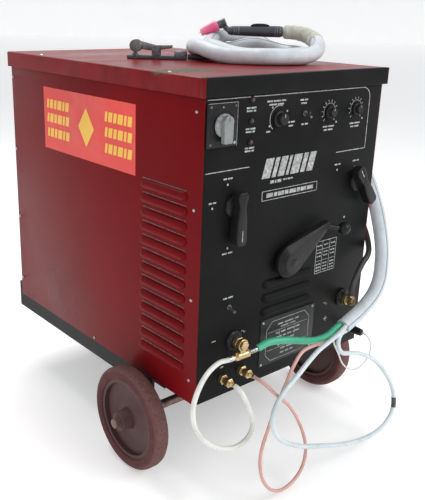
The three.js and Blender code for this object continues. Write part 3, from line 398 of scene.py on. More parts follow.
def sheath_vinyl():
    """Pale vinyl cover, softly creased round its bends and soiled in patches."""
    n = Nodes("sheath_vinyl")
    patches = n.noise(13, 7, 0.65)
    body = n.blend(n.span(patches, 0.35, 0.72), (0.66, 0.71, 0.75), (0.44, 0.47, 0.49))
    specks = n.span(n.noise(95, 5, 0.7), 0.66, 0.74)
    body = n.blend(specks, body, (0.26, 0.26, 0.25))
    creases = n.noise(34, 3, 0.5, coords="UV", stretch=(0.06, 2.2, 1))
    normal = n.bump(creases, 0.35, 0.003)
    normal = n.bump(n.noise(420, 2), 0.1, 0.0004, normal)
    return n.finish(body, n.span(patches, 0.3, 0.75, 0.42, 0.6), normal, Coat_Weight=0.1)


def canvas_weave():
    """Woven canvas tape: warp and weft follow the sleeve's own surface."""
    n = Nodes("canvas_weave")
    waves = []
    for direction, scale in (("X", 20), ("Y", 46)):
        wave = n.add("ShaderNodeTexWave", wave_type="BANDS", bands_direction=direction)
        wave.inputs["Scale"].default_value = scale
        wave.inputs["Distortion"].default_value = 0.6
        n.link(n.coords.outputs["UV"], wave.inputs["Vector"])
        waves.append(wave.outputs["Fac"])
    weave = n.maths("ADD", waves[0], waves[1])
    patches = n.noise(40, 6, 0.7)
    body = n.blend(n.span(patches, 0.35, 0.7), (0.70, 0.69, 0.60), (0.46, 0.45, 0.38))
    body = n.blend(n.maths("MULTIPLY", n.span(weave, 0.2, 1.6), 0.25), body, (0.30, 0.29, 0.22))
    return n.finish(body, 0.92, n.bump(weave, 0.5, 0.0008), Sheen_Weight=0.25)


FINISH = {}


# ---------------------------------------------------------------- modelling helpers
def spun(profile, axis="Y", steps=48):
    """A closed turned shape. Each profile point is (radius, place along the axis)."""
    bm = bmesh.new()
    verts = [bm.verts.new((r, 0, along)) for r, along in profile]
    edges = [bm.edges.new(pair) for pair in zip(verts, verts[1:])]
    bmesh.ops.spin(
        bm, geom=verts + edges, cent=(0, 0, 0), axis=(0, 0, 1), angle=math.tau, steps=steps, use_merge=True
    )
    bmesh.ops.remove_doubles(bm, verts=bm.verts, dist=0.001)
    bmesh.ops.recalc_face_normals(bm, faces=bm.faces)
    turn = {
        "X": Matrix.Rotation(math.pi / 2, 4, "Y"),
        "Y": Matrix.Rotation(-math.pi / 2, 4, "X"),
        "Z": Matrix.Identity(4),
    }[axis]
    bmesh.ops.transform(bm, matrix=turn, verts=bm.verts)
    return bm


def block(low, high, bevel=0.0, segments=3):
    """A box between two corners, with rounded edges."""
    bm = bmesh.new()
    size = [b - a for a, b in zip(low, high)]
    middle = [(a + b) / 2 for a, b in zip(low, high)]
    place = Matrix.Translation(middle) @ Matrix.Diagonal((*size, 1))
    bmesh.ops.create_cube(bm, size=1, matrix=place)
    if bevel:
        round_edges(bm, list(bm.edges), bevel, segments)
    return bm


def round_edges(bm, edges, width, segments=3):
    bmesh.ops.bevel(
        bm, geom=edges, offset=width, offset_type="OFFSET", affect="EDGES",
        segments=segments, profile=0.5, material=-1, clamp_overlap=True,
    )


def slab(outline, low, high, axis="Y", bevel=0.0, segments=3):
    """A flat outline given thickness along an axis. Outline points are the other two places."""
    bm = bmesh.new()
    spots = {"X": lambda a, b: (low, a, b), "Y": lambda a, b: (a, low, b), "Z": lambda a, b: (a, b, low)}
    face = bm.faces.new([bm.verts.new(spots[axis](a, b)) for a, b in outline])
    made = bmesh.ops.extrude_face_region(bm, geom=[face])
    moved = [g for g in made["geom"] if isinstance(g, bmesh.types.BMVert)]
    shift = {"X": (high - low, 0, 0), "Y": (0, high - low, 0), "Z": (0, 0, high - low)}[axis]
    bmesh.ops.translate(bm, verts=moved, vec=shift)
    bmesh.ops.recalc_face_normals(bm, faces=bm.faces)
    if bevel:
        round_edges(bm, list(bm.edges), bevel, segments)
    return bm


def joined(*shapes):
    """Puts several shapes in one mesh. A shape may come with the matrix that places it."""
    bm = bmesh.new()
    for shape in shapes:
        part, place = shape if isinstance(shape, tuple) else (shape, Matrix.Identity(4))
        bmesh.ops.transform(part, matrix=place, verts=part.verts)
        mesh = bpy.data.meshes.new("part")
        part.to_mesh(mesh)
        part.free()
        bm.from_mesh(mesh)
        bpy.data.meshes.remove(mesh)
    return bm


def at(x, y, z):
    return Matrix.Translation((x, y, z))


def on_front(spot):
    """The place of a fitting whose X and Z on the front panel are given."""
    return at(spot[0], 0, spot[1])


def drum(radius, low, high, axis="Y", steps=48):
    """A plain cylinder between two places along its axis."""
    return spun([(0, low), (radius, low), (radius, high), (0, high)], axis, steps)


def ring(inner, outer, low, high, axis="Y", steps=48):
    """A plain ring between two places along its axis."""
    return spun([(inner, low), (outer, low), (outer, high), (inner, high), (inner, low)], axis, steps)


def piece(name, bm, body, finish, replaces=(), place=None, sharp=40):
    """Puts a finished shape in the scene, riding on its body."""
    bmesh.ops.transform(bm, matrix=CABINET @ (place or Matrix.Identity(4)), verts=bm.verts)
    # Marks sharp folds. Moulded finishes lighten them, partly as scuffing and partly as a painted edge
    # highlight.
    edge_scuff_and_sheen_mark = bm.verts.layers.float.new("edge")
    for edge in bm.edges:
        angle = math.degrees(edge.calc_face_angle(math.pi))
        edge.smooth = angle < sharp
        if angle > 14:
            for vert in edge.verts:
                vert[edge_scuff_and_sheen_mark] = max(vert[edge_scuff_and_sheen_mark], min(1.0, angle / 45))
    for face in bm.faces:
        face.smooth = True
    mesh = bpy.data.meshes.new(name)
    bm.to_mesh(mesh)
    bm.free()
    return settle(bpy.data.objects.new(name, mesh), body, finish, replaces)


def settle(obj, body, finish, replaces=()):
    obj.data.materials.clear()
    obj.data.materials.append(FINISH[finish])
    if not obj.users_collection:
        bpy.context.scene.collection.objects.link(obj)
    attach(obj, body)
    if replaces:
        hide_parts(*replaces)
    return obj


def dress(finish, *nodes):
    """Gives CAD nodes a finished material."""
    for node in nodes:
        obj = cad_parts[node]
        for slot in obj.material_slots:
            slot.material = FINISH[finish]
        if not obj.material_slots:
            obj.data.materials.append(FINISH[finish])


def smooth_line(points, spacing):
    """Even points along the centripetal curve through the given ones."""
    spots = [Vector(p) for p in points]
    ends = [2 * spots[0] - spots[1], *spots, 2 * spots[-1] - spots[-2]]
    line = [spots[0]]
    for a, b, c, d in zip(ends, ends[1:], ends[2:], ends[3:]):
        t0 = 0.0
        t1 = t0 + math.sqrt((b - a).length)
        t2 = t1 + math.sqrt((c - b).length)
        t3 = t2 + math.sqrt((d - c).length)
        count = max(1, round((c - b).length / spacing))
        for i in range(1, count + 1):
            t = t1 + (t2 - t1) * i / count
            ab = a.lerp(b, (t - t0) / (t1 - t0))
            bc = b.lerp(c, (t - t1) / (t2 - t1))
            cd = c.lerp(d, (t - t2) / (t3 - t2))
            left = ab.lerp(bc, (t - t0) / (t2 - t0))
            right = bc.lerp(cd, (t - t1) / (t3 - t1))
            line.append(left.lerp(right, (t - t1) / (t2 - t1)))
    return line


def strand(name, line, diameter, sides=5, radii=None):
    """A round curve in metres along a line of points in metres."""
    curve = bpy.data.curves.new(name, "CURVE")
    curve.dimensions = "3D"
    curve.bevel_depth = diameter / 2
    curve.bevel_resolution = sides
    curve.use_fill_caps = True
    spline = curve.splines.new("POLY")
    spline.points.add(len(line) - 1)
    for i, (point, spot) in enumerate(zip(spline.points, line)):
        point.co = (*spot, 1)
        point.radius = radii[i] if radii else 1
    return bpy.data.objects.new(name, curve)


def lofted(points, radii, spacing=3.0, sides=10):
    """A mesh of changing thickness along a smooth line, in millimetres."""
    line = smooth_line(points, spacing)
    total = [0.0]
    for a, b in zip(line, line[1:]):
        total.append(total[-1] + (b - a).length)
    marks = [0.0]
    spots = [Vector(p) for p in points]
    for a, b in zip(spots, spots[1:]):
        marks.append(marks[-1] + (b - a).length)
    scaled = [m * total[-1] / marks[-1] for m in marks]
    sizes = [between(scaled, radii, t) for t in total]
    return to_bmesh(strand("loft", line, 2.0, sides, sizes))


def to_bmesh(obj):
    """Turns a curve into a closed mesh and removes the curve."""
    bpy.context.scene.collection.objects.link(obj)
    graph = bpy.context.evaluated_depsgraph_get()
    mesh = bpy.data.meshes.new_from_object(obj.evaluated_get(graph))
    bpy.data.objects.remove(obj)
    bm = bmesh.new()
    bm.from_mesh(mesh)
    bpy.data.meshes.remove(mesh)
    bmesh.ops.remove_doubles(bm, verts=bm.verts, dist=0.001)
    bmesh.ops.recalc_face_normals(bm, faces=bm.faces)
    return bm


def between(marks, values, t):
    for a, b, low, high in zip(marks, marks[1:], values, values[1:]):
        if t <= b:
            return low + (high - low) * (t - a) / max(b - a, 1e-9)
    return values[-1]


def route(points, spacing=6.0):
    """A route in millimetres from the cabinet, as even points in metres."""
    return [CABINET @ p for p in smooth_line(points, spacing)]


# ---------------------------------------------------------------- hoses and cables
POWER_HOSE = [
    (-147, -30, 105), (-128, -30.5, 105.8), (-97, -36, 115), (-62, -46, 114), (-9, -54, 101),
    (36, -59, 90), (82, -60, 89), (118, -57, 98), (134.5, -57, 103.5),
]
# The power hose comes out of its ferrule after this many even points of its route.
FERRULE_POINTS = 5
WATER_HOSE = [
    (-197, -30, 105), (-214, -30.5, 105.8), (-244, -36, 112), (-285, -46, 105), (-318, -56, 83),
    (-336, -62, 52), (-336, -66, 14), (-317, -70, -25), (-286, -74, -55), (-254, -77, -73),
    (-222, -80, -79), (-194, -83, -68), (-181, -84.5, -40), (-184, -81, -13), (-191, -76.5, 8),
    (-197.5, -72.5, 25), (-201, -65.5, 37.5), (-202, -56.5, 43.6), (-202, -50, 45),
    (-202, -44.6, 45),
]
GAS_HOSE = [
    (-144, -44.6, 48), (-144, -64, 47), (-139, -82, 39), (-127, -94, 23), (-108, -98, 4),
    (-85, -101, -19), (-58, -108, -63), (-39, -116, -115), (-38, -122, -149), (-56, -130, -177),
    (-91, -136, -195), (-133, -138, -199), (-168, -136, -181), (-188, -130, -150),
    (-193, -124, -112), (-183, -118, -79), (-166, -114, -48), (-150, -111, -20), (-130, -108, 11),
    (-105, -104, 44), (-77, -98, 77), (-45, -92, 98), (5, -85, 97), (60, -75, 84),
    (118, -62, 83), (134.5, -61, 89),
]
RETURN_HOSE = [
    (134.5, -72, 104), (118, -74.5, 99), (90, -81, 95), (48, -90, 93), (5, -98, 89),
    (-41, -108, 78), (-87, -118, 63), (-132, -126, 48), (-164, -132, 25), (-177, -136, -4),
    (-168, -140, -39), (-136, -144, -71), (-89, -148, -97), (-23, -150, -123), (47, -150, -149),
    (117, -150, -168), (181, -148, -178), (238, -144, -174), (272, -140, -154), (286, -134, -121),
    (277, -126, -78), (253, -116, -37), (218, -104, 2), (182, -100, 24), (152, -97, 37),
    (126, -93, 43), (108, -89, 48), (98.5, -84.5, 62), (100, -80, 77), (109, -76.5, 87),
    (122, -73.5, 91.3), (134.5, -72, 91),
]
TRIGGER_WIRE = [
    (134.5, -53, 90), (122, -52.5, 84), (115, -54, 70), (119, -57, 52), (131, -60, 30),
    (151, -64, -7), (189, -66, -34), (233, -64, -36), (262, -62, -15), (267, -60, 10),
    (262, -54, 28), (258, -45, 36), (258, -36.6, 36),
]
SHEATH = [
    (137, -63, 99), (162, -62.5, 107.5), (192, -62, 118), (222, -61, 132), (252, -60, 153),
    (274, -57, 182), (289, -49, 222), (300, -36, 268), (306, -16, 322), (307, 4, 370),
    (307, 33, 422), (307, 76, 484), (307, 132, 547), (307, 200, 608), (307, 272, 660),
    (306, 338, 697), (300, 392, 724), (284, 428, 741), (258, 446, 749), (222, 447, 754),
    (187, 434, 756),
]
RETURN_CABLE = [
    (203, -30, 153.2), (204.5, -30, 175), (219, -28, 202), (244, -23, 225), (272, -18, 246),
    (293, 2, 270), (301, 27, 306), (300, 62, 362), (300, 112, 428), (299, 172, 492),
    (299, 242, 552), (298, 320, 606), (298, 396, 651), (298, 456, 687), (297.5, 498, 709),
    (295, 534, 719), (282, 562, 723), (255, 574, 721), (227, 563, 714), (213, 535, 708.8),
    (211, 495, 707.6), (213, 450, 707.6), (211, 405, 707.6), (197, 364, 707.6),
    (167, 329, 707.6), (124, 310, 707.6), (78, 304, 707.6), (28, 319, 707.6),
    (-10, 343, 707.6), (-24.5, 354.3, 707.6),
]
# The turns on the lid as (angle in degrees, radius, height), counter-clockwise from the right.
# Loops give the stretches that lie flat. The humps are where one turn crosses another.
INNER_RADIUS = 118
OUTER_RADIUS = 154
RESTING = LID_TOP + 18
HUMP = LID_TOP + 33
COIL_TURNS = [
    (78, 146, 756), (92, 134, 752), (108, 125, 744), (126, 119, 736),
    (144, INNER_RADIUS, HUMP), (160, INNER_RADIUS, HUMP), (176, INNER_RADIUS, HUMP - 3),
    (194, INNER_RADIUS, 723),
    *[(angle, INNER_RADIUS, RESTING) for angle in range(212, 353, 20)],
    (370, INNER_RADIUS, RESTING + 2), (388, INNER_RADIUS, 728), (402, INNER_RADIUS, HUMP - 1),
    (414, 119, HUMP - 2), (426, 123, 725), (440, 130, RESTING), (456, 140, RESTING),
    (472, 149, RESTING), (488, 153, 724), (504, OUTER_RADIUS, HUMP - 1),
    (517, OUTER_RADIUS, HUMP), (531, OUTER_RADIUS, HUMP - 2), (546, OUTER_RADIUS, 724),
    *[(angle, OUTER_RADIUS, RESTING) for angle in range(562, 617, 18)],
    (632, OUTER_RADIUS, RESTING + 1), (648, OUTER_RADIUS, 724), (662, OUTER_RADIUS, 732),
    (674, 153.5, 741),
]


def coil_points():
    """The turns on the lid, which go from the cover's rise round to the canvas sleeve."""
    spots = []
    for angle, radius, height in COIL_TURNS:
        turn = math.radians(angle)
        x = COIL_CENTRE.x + radius * math.cos(turn)
        y = COIL_CENTRE.y + radius * math.sin(turn)
        spots.append((x, y, height))
    return spots


SLEEVE = [(151, 14, 747.3), (141, 36, 755.3), (122, 53, 763.3), (98, 60, 767.3), (70, 60, 768.3)]


def lie(line, name, diameter, finish, replaces=(), sides=5):
    """Lays a round cord along a line, as part of the cabinet."""
    obj = strand(name, line, diameter, sides)
    return settle(obj, "cabinet", finish, replaces)


class WELDER_OT_hoses(bpy.types.Operator):
    """Lays the torch's hoses, its wire and its cover, and the return cable"""

    bl_idname = "welder.hoses"
    bl_label = "Hoses and cables"

    def execute(self, context):
        sizes = hoses()
        jobs = [
            ("green_power_hose", POWER_HOSE, sizes.power, "green", "green_hose", "power_hose", "stiff"),
            ("clear_water_hose", WATER_HOSE, sizes.water, "clear", "clear_hose", "water_hose", "medium"),
            ("pink_gas_hose", GAS_HOSE, sizes.gas, "pink", "pink_hose", "gas_hose", "medium"),
            ("blue_water_hose", RETURN_HOSE, sizes.water, "blue", "blue_hose", "return_water_hose",
             "medium"),
            ("white_trigger_wire", TRIGGER_WIRE, sizes.wire, "clear", "clear_hose", "trigger_wire", "limp"),
        ]
        for name, points, diameter, finish, slot, node, stiffness in jobs:
            line = route(points, 5)
            if node == "power_hose":
                line = line[FERRULE_POINTS:]
            obj = lie(line, name, diameter, finish, replaces=(node,))
        self.lay_cover(sizes)
        self.lay_return_cable(sizes)
        return {"FINISHED"}

    def lay_cover(self, sizes):
        sleeve = [LAY @ Vector(p) for p in SLEEVE]
        line = route([*SHEATH, *coil_points(), *sleeve[:2]], 7)
        cover = lie(line, "torch_hose_cover", sizes.sheath, "sheath",
                    replaces=("torch_sheath", "torch_coil"), sides=9)
        seam = side_line(line, sizes.sheath / 2 - 0.0006)
        strip = lie(seam, "cover_seam", 0.0034, "seam", sides=3)
        wrap = piece("canvas_sleeve", canvas_sleeve(sleeve), "cabinet", "canvas",
                     ("torch_sleeve",))

    def lay_return_cable(self, sizes):
        line = route(RETURN_CABLE, 6)
        obj = lie(line, "return_lead", sizes.cable, "cable",
                  replaces=("return_cable",))
        strands = piece("bare_strands", bare_strands(), "cabinet", "copper")


def side_line(line, reach):
    """A line along the surface of a round cord, which winds slowly round it."""
    spots = []
    up = Vector((0.2, -0.9, 0.4)).normalized()
    for i, spot in enumerate(line):
        ahead = (line[min(i + 1, len(line) - 1)] - line[max(i - 1, 0)]).normalized()
        up = (up - ahead * up.dot(ahead)).normalized()
        spots.append(spot + up * reach)
    return spots


def canvas_sleeve(sleeve):
    """Canvas tape wound over the end of the cover, each turn half over the last."""
    line = smooth_line(sleeve, 2.0)
    radii = []
    for i in range(len(line)):
        share = i / (len(line) - 1)
        lap = (i * 2.0 % 17) / 17
        radii.append(19.4 - 3.2 * share + 1.1 * lap - (2.5 if share > 0.97 else 0))
    obj = strand("loft", line, 2.0, 12, radii)
    return to_bmesh(obj)


def bare_strands():
    """Copper strands that show between the return cable and its lug."""
    shapes = []
    for i in range(7):
        turn = i * math.tau / 7
        x, y = 203 + 3.6 * math.cos(turn), -30 + 3.6 * math.sin(turn)
        bow = 1.0 + 0.25 * (i % 3)
        points = [(x, y, 150), (203 + (x - 203) * bow, -30 + (y + 30) * bow, 154), (x, y, 158)]
        shapes.append(lofted(points, [1.3] * 3, 2.0, 2))
    return joined(*shapes)


# ---------------------------------------------------------------- wheels
class WELDER_OT_wheels(bpy.types.Operator):
    """Makes the two solid-tyred wheels, their hubs and the castor"""

    bl_idname = "welder.wheels"
    bl_label = "Wheels and castor"

    def execute(self, context):
        for side, sign in (("left", -1), ("right", 1)):
            body = f"{side}_road_wheel"
            flip = Matrix.Diagonal((sign, 1, 1, 1))
            wheel, rubber = road_wheel(), road_tyre()
            for bm in (wheel, rubber):
                bmesh.ops.transform(bm, matrix=flip, verts=bm.verts)
                bmesh.ops.recalc_face_normals(bm, faces=bm.faces)
            piece(f"{side}_hub_and_disc", wheel, body, "hub_iron",
                  (f"{side}_wheel",), at(*AXLE))
            obj = piece(f"{side}_solid_tyre", rubber, body, "tyre",
                        (f"{side}_tyre",), at(*AXLE))
            mark_tread(obj, AXLE, TREAD_RADIUS)
        roller = spun([
            (5.3, -18), (15, -18), (16, -17), (16, -12), (44, -12), (46, -14), (48, -16), (57, -16),
            (60, -14.5), (62, -10), (62, 10), (60, 14.5), (57, 16), (48, 16), (46, 14), (44, 12),
            (16, 12), (16, 17), (15, 18), (5.3, 18), (5.3, -18),
        ], "X", 48)
        obj = piece("castor_tyre", roller, "castor_roller", "tyre",
                    ("castor_wheel",), at(*CASTOR_HUB))
        mark_tread(obj, CASTOR_HUB, CASTOR_TREAD_RADIUS)
        dress("frame_enamel", "chassis_frame")
        dress("axle_steel", "axle")
        dress("steel", "castor_plate", "castor_fork")
        return {"FINISHED"}


def road_wheel():
    """A pressed disc with stiffening rings, a rim and a long hub."""
    disc = spun([
        (11.3, 302.5), (23, 302.5), (24, 304), (24, 319), (40, 319), (46, 317), (76, 317), (82, 319.5),
        (88, 319.5), (88, 308), (90, 307.5), (96, 307.5), (96, 339.5), (90, 339.5), (88, 338.5),
        (88, 327.5), (80, 327.5), (72, 325), (50, 325), (44, 329), (30, 329), (26, 331),
        (24.5, 336), (23, 357), (21.5, 360.5), (11.3, 360.5), (11.3, 302.5),
    ], "X", 64)
    washer = ring(11.3, 17, 360.6, 363, "X", 32)
    return joined(disc, washer)


def road_tyre():
    """Solid rubber with a shoulder ring on each wall."""
    return spun([
        (96.3, 305.5), (101, 302.6), (104, 303.6), (107, 302.6), (113, 303), (119, 305.5),
        (122.5, 309.5), (124, 315), (124, 332), (122.5, 337.5), (119, 341.5), (113, 344),
        (107, 344.4), (104, 343.4), (101, 344.4), (96.3, 341.5), (96.3, 305.5),
    ], "X", 72)


def mark_tread(obj, hub, radius):
    """Marks the tread, where the rubber is scuffed pale."""
    centre = CABINET @ Vector(hub)
    values = obj.data.attributes.new("tread", "FLOAT", "POINT").data
    for vertex, value in zip(obj.data.vertices, values):
        spread = math.hypot(vertex.co.y - centre.y, vertex.co.z - centre.z)
        value.value = 1.0 if spread > radius else 0.0


# ---------------------------------------------------------------- cabinet
class WELDER_OT_cabinet(bpy.types.Operator):
    """Finishes the sheet metal and adds its screws, decal and rounded lid"""

    bl_idname = "welder.cabinet"
    bl_label = "Cabinet"

    def execute(self, context):
        dress("red_enamel", "rear_panel")
        dress("black_enamel", "base_tray")
        for name, side in (("left", -1), ("right", 1)):
            piece(f"louvred_{name}_side", louvred_side(side), "cabinet", "red_enamel",
                  (f"{name}_panel",))
            # Thin black strips along the top of each louvre: a painted shadow line, not an opening.
            louvre_shadow_strips = [block((277.4, 46, z + 10.6), (277.8, 194, z + 12.4)) for z in SIDE_LOUVRES]
            flip = Matrix.Diagonal((side, 1, 1, 1))
            piece(f"{name}_louvre_painted_shadows", joined(*louvre_shadow_strips), "cabinet", "tape", place=flip)
        piece("louvred_front", louvred_front(), "cabinet", "black_enamel", ("front_panel",))
        piece("rounded_lid", lid_shell(), "cabinet", "lid_enamel", ("lid",))
        piece("lid_front_band", hood_shell(), "cabinet", "black_enamel", ("front_hood",))
        shapes = []
        for side in (-1, 1):
            for y in (22, 397, 782):
                heights = (634, 438, 243, 55) if y != 397 else (9,)
                shapes += [(screw(), side_place(side, y, z)) for z in heights]
        piece("side_screws", joined(*shapes), "cabinet", "steel")
        rivets = [(rivet(), at(x, y, 700)) for x, y in ((-268, 120), (-268, 640), (268, 640))]
        piece("lid_rivets", joined(*rivets), "cabinet", "steel")
        rear = [(screw(), rear_place(x, z)) for x in (-255, 255) for z in (40, 340, 640)]
        rear += [(screw(), rear_place(x, z)) for x in (-88, 88) for z in (432, 608)]
        piece("rear_screws", joined(*rear), "cabinet", "steel")
        self.side_decal()
        return {"FINISHED"}

    def side_decal(self):
        """A plain two-colour label: a field, a lozenge in its middle, and rows of leaning bars."""
        (y0, z0), (y1, z1) = DECAL_CORNERS
        field = slab([(y0, z0), (y1, z0), (y1, z1), (y0, z1)], DECAL_FACE, DECAL_FACE - 0.25, "X")
        piece("decal_field", field, "cabinet", "decal_field")
        lozenge = [(385, 547.5), (419, 501.5), (453, 547.5), (419, 593.5)]
        shapes = [slab(lozenge, *DECAL_INK, "X")]
        for z in (585, 550, 513):
            shapes += decal_row(236, 340, z) + decal_row(498, 603, z)
        piece("decal_emblem", joined(*shapes), "cabinet", "decal_emblem")


DECAL_FACE = -277.7
DECAL_INK = (DECAL_FACE - 0.3, DECAL_FACE - 0.5)
DECAL_CORNERS = ((221, 470), (617, 625))


def decal_row(start, end, middle):
    """A row of leaning bars of four widths by turns, from one place along Y to another."""
    shapes = []
    half, lean, gap = 11, 3.5, 5
    low, high = middle - half, middle + half
    y, step = start, 0
    while y < end - 8:
        wide = (15, 9, 19, 12)[step % 4]
        outline = [(y, low), (y + wide, low), (y + wide - lean, high), (y - lean, high)]
        shapes.append(slab(outline, *DECAL_INK, "X"))
        y += wide + gap
        step += 1
    return shapes


SIDE_LOUVRES = [461 - 32 * i for i in range(13)]
FRONT_LOUVRES = (239, 206, 172)


def louvre_bead(length):
    """A pressed louvre: a long swelling with round ends, which stands out along -X and leans down."""
    radius, half = 9.8, length / 2
    turns = [math.pi * i / 16 for i in range(9)]
    fall = [(radius * math.sin(turn), -half + 13 * (1 - math.cos(turn))) for turn in turns]
    bead = spun(fall + [(r, -y) for r, y in reversed(fall)], "Y", 28)
    skew = Matrix.Identity(4)
    skew[0][0] = 9 / radius
    skew[2][0] = 0.3
    bmesh.ops.transform(bead, matrix=skew, verts=bead.verts)
    return bead


def louvred_side(side):
    """A side of the cabinet with its column of louvres."""
    sheet = block((-SIDE_FACE, 0, 0), (-SIDE_FACE + SHEET, REAR_FACE, 697.7), 0.5, 2)
    bm = joined(sheet, *[(louvre_bead(156), at(-SIDE_FACE, 120, z)) for z in SIDE_LOUVRES])
    bmesh.ops.transform(bm, matrix=Matrix.Diagonal((-side, 1, 1, 1)), verts=bm.verts)
    bmesh.ops.recalc_face_normals(bm, faces=bm.faces)
    return bm


def louvred_front():
    """The front panel with its three louvres."""
    sheet = block((-275.2, 0, 2.3), (275.2, SHEET, 697.7), 0.4, 2)
    turn = Matrix.Rotation(math.pi / 2, 4, "Z")
    return joined(sheet, *[(louvre_bead(164), at(-6, 0, z) @ turn) for z in FRONT_LOUVRES])


def lid_shell():
    """The lid: a folded tray, open at the front, with rounded folds."""
    bm = block((-285.5, 5.3, 662), (285.5, 798, 700))
    drop = [f for f in bm.faces if f.normal.z < -0.9 or f.normal.y < -0.9]
    bmesh.ops.delete(bm, geom=drop, context="FACES")
    folds = [e for e in bm.edges if len(e.link_faces) == 2]
    round_edges(bm, folds, 4.5, 5)
    bmesh.ops.recalc_face_normals(bm, faces=bm.faces)
    outward = sum(f.normal.z * f.calc_area() for f in bm.faces)
    if outward < 0:
        bmesh.ops.reverse_faces(bm, faces=bm.faces)
    bmesh.ops.solidify(bm, geom=list(bm.faces), thickness=2.0)
    cheeks = [
        block((x0, -9, 662), (x1, 5.4, 700), 0.5, 2)
        for x0, x1 in ((-285.5, -283.5), (283.5, 285.5))
    ]
    return joined(bm, *cheeks)


def hood_shell():
    """The black band that closes the lid's front, folded over at the top and bottom."""
    outline = [(-9, 662), (-0.3, 662), (-0.3, 664), (-7, 664), (-7, 698), (5, 698), (5, 700), (-9, 700)]
    bm = slab(outline, -283.2, 283.2, "X")
    folds = [
        e for e in bm.edges
        if all(abs(v.co.y + 9) < 0.1 for v in e.verts) and abs(e.verts[0].co.x - e.verts[1].co.x) > 1
    ]
    round_edges(bm, folds, 2.6, 4)
    return bm


def screw(radius=3.6):
    """A pan-head screw with a cross slot, standing out along +Z."""
    head = spun([(0, 0), (radius, 0), (radius, 0.8), (radius * 0.8, 1.9), (0, 2.4)], "Z", 20)
    slot_a = block((-radius * 0.65, -0.5, 2.0), (radius * 0.65, 0.5, 2.55))
    slot_b = block((-0.5, -radius * 0.65, 2.0), (0.5, radius * 0.65, 2.55))
    return joined(head, slot_a, slot_b)


def rivet():
    return spun([(0, 0), (4, 0), (3.6, 1.2), (2.2, 2.0), (0, 2.2)], "Z", 20)


def side_place(side, y, z):
    return at(side * 277.6, y, z) @ Matrix.Rotation(side * math.pi / 2, 4, "Y")


def rear_place(x, z):
    return at(x, REAR_FACE, z) @ Matrix.Rotation(-math.pi / 2, 4, "X")


def front_place(x, z, y=0.0):
    return at(x, y, z) @ Matrix.Rotation(math.pi / 2, 4, "X")


# ---------------------------------------------------------------- printing on the front panel
INK = (-0.32, -0.06)


def bar(x0, z0, x1, z1):
    return block((x0, INK[0], z0), (x1, INK[1], z1))


def leaning(x, z, wide, tall, lean):
    outline = [(x, z), (x + wide, z), (x + wide + lean, z + tall), (x + lean, z + tall)]
    return slab(outline, *INK, "Y")


def arc(x, z, radius, start, end, wide=1.2):
    """Part of a ring, with angles in degrees clockwise from straight up."""
    bm = bmesh.new()
    first = bm.verts.new((0, INK[0], radius - wide / 2))
    second = bm.verts.new((0, INK[0], radius + wide / 2))
    edge = bm.edges.new((first, second))
    steps = max(3, int(abs(end - start) / 8))
    bmesh.ops.spin(
        bm, geom=[first, second, edge], cent=(0, 0, 0), axis=(0, 1, 0),
        angle=math.radians(end - start), steps=steps, use_merge=False,
    )
    bmesh.ops.rotate(bm, verts=bm.verts, matrix=Matrix.Rotation(math.radians(start), 3, "Y"))
    made = bmesh.ops.extrude_face_region(bm, geom=list(bm.faces))
    moved = [g for g in made["geom"] if isinstance(g, bmesh.types.BMVert)]
    bmesh.ops.translate(bm, verts=moved, vec=(0, INK[1] - INK[0], 0))
    bmesh.ops.recalc_face_normals(bm, faces=bm.faces)
    return (bm, at(x, 0, z))


def dot(x, z, radius=2.6):
    return (drum(radius, *INK, "Y", 12), at(x, 0, z))


def ticks(x, z, radius, count, start=-135, end=135, reach=5):
    shapes = []
    for i in range(count):
        turn = math.radians(start + (end - start) * i / (count - 1))
        tick = block((-0.7, INK[0], radius), (0.7, INK[1], radius + reach))
        shapes.append((tick, at(x, 0, z) @ Matrix.Rotation(turn, 4, "Y")))
    return shapes


def words(x, z, lengths, tall=3.4, gap=3.0):
    """A row of short bars that stands for a line of small print."""
    shapes = []
    left = x - (sum(lengths) + gap * (len(lengths) - 1)) / 2
    for length in lengths:
        shapes.append(bar(left, z - tall / 2, left + length, z + tall / 2))
        left += length + gap
    return shapes


def frame_line():
    """The outlined field at the top of the panel, with one rounded corner."""
    return [
        bar(-271, 656.6, 208, 658.4), bar(233.2, 515, 235, 631), bar(128, 514.2, 235, 516),
        bar(-271, 514.2, -150, 516), arc(208, 631.5, 26, 0, 90, 1.8),
    ]


def title_marks():
    """A row of bold leaning bars where a title would stand."""
    shapes = []
    x = -112
    for wide in (24, 12, 20, 8, 26, 14, 20):
        shapes.append(leaning(x, 484, wide, 42, 12))
        x += wide + 6
    shapes += words(-68, 474, (12, 4, 12), 6.5, 3) + words(-30, 475, (8, 3, 8, 6), 3.5, 2)
    shapes += [bar(-107, 455, 69, 456.4), bar(-107, 434.6, 69, 436), bar(-108, 434.6, -106.6, 456.4),
               bar(68.6, 434.6, 70, 456.4)]
    shapes += words(-19, 445.5, (20, 10, 18, 12, 22, 9, 18, 20), 9, 3)
    return shapes


def setting_label():
    """The printed table under the lever's ball."""
    shapes = [
        bar(88, 304.6, 161, 306), bar(88, 225, 161, 226.4),
        bar(88, 225, 89.4, 306), bar(159.6, 225, 161, 306),
        bar(110, 226, 111.2, 304), bar(136, 226, 137.2, 304),
        bar(89, 284, 160, 285.2), bar(89, 256, 160, 257),
    ]
    for x in (99.5, 123.5, 148.5):
        for z in (294.5, 277, 268, 248, 240, 232):
            shapes += words(x, z, (6, 7), 3.2, 2)
    return shapes


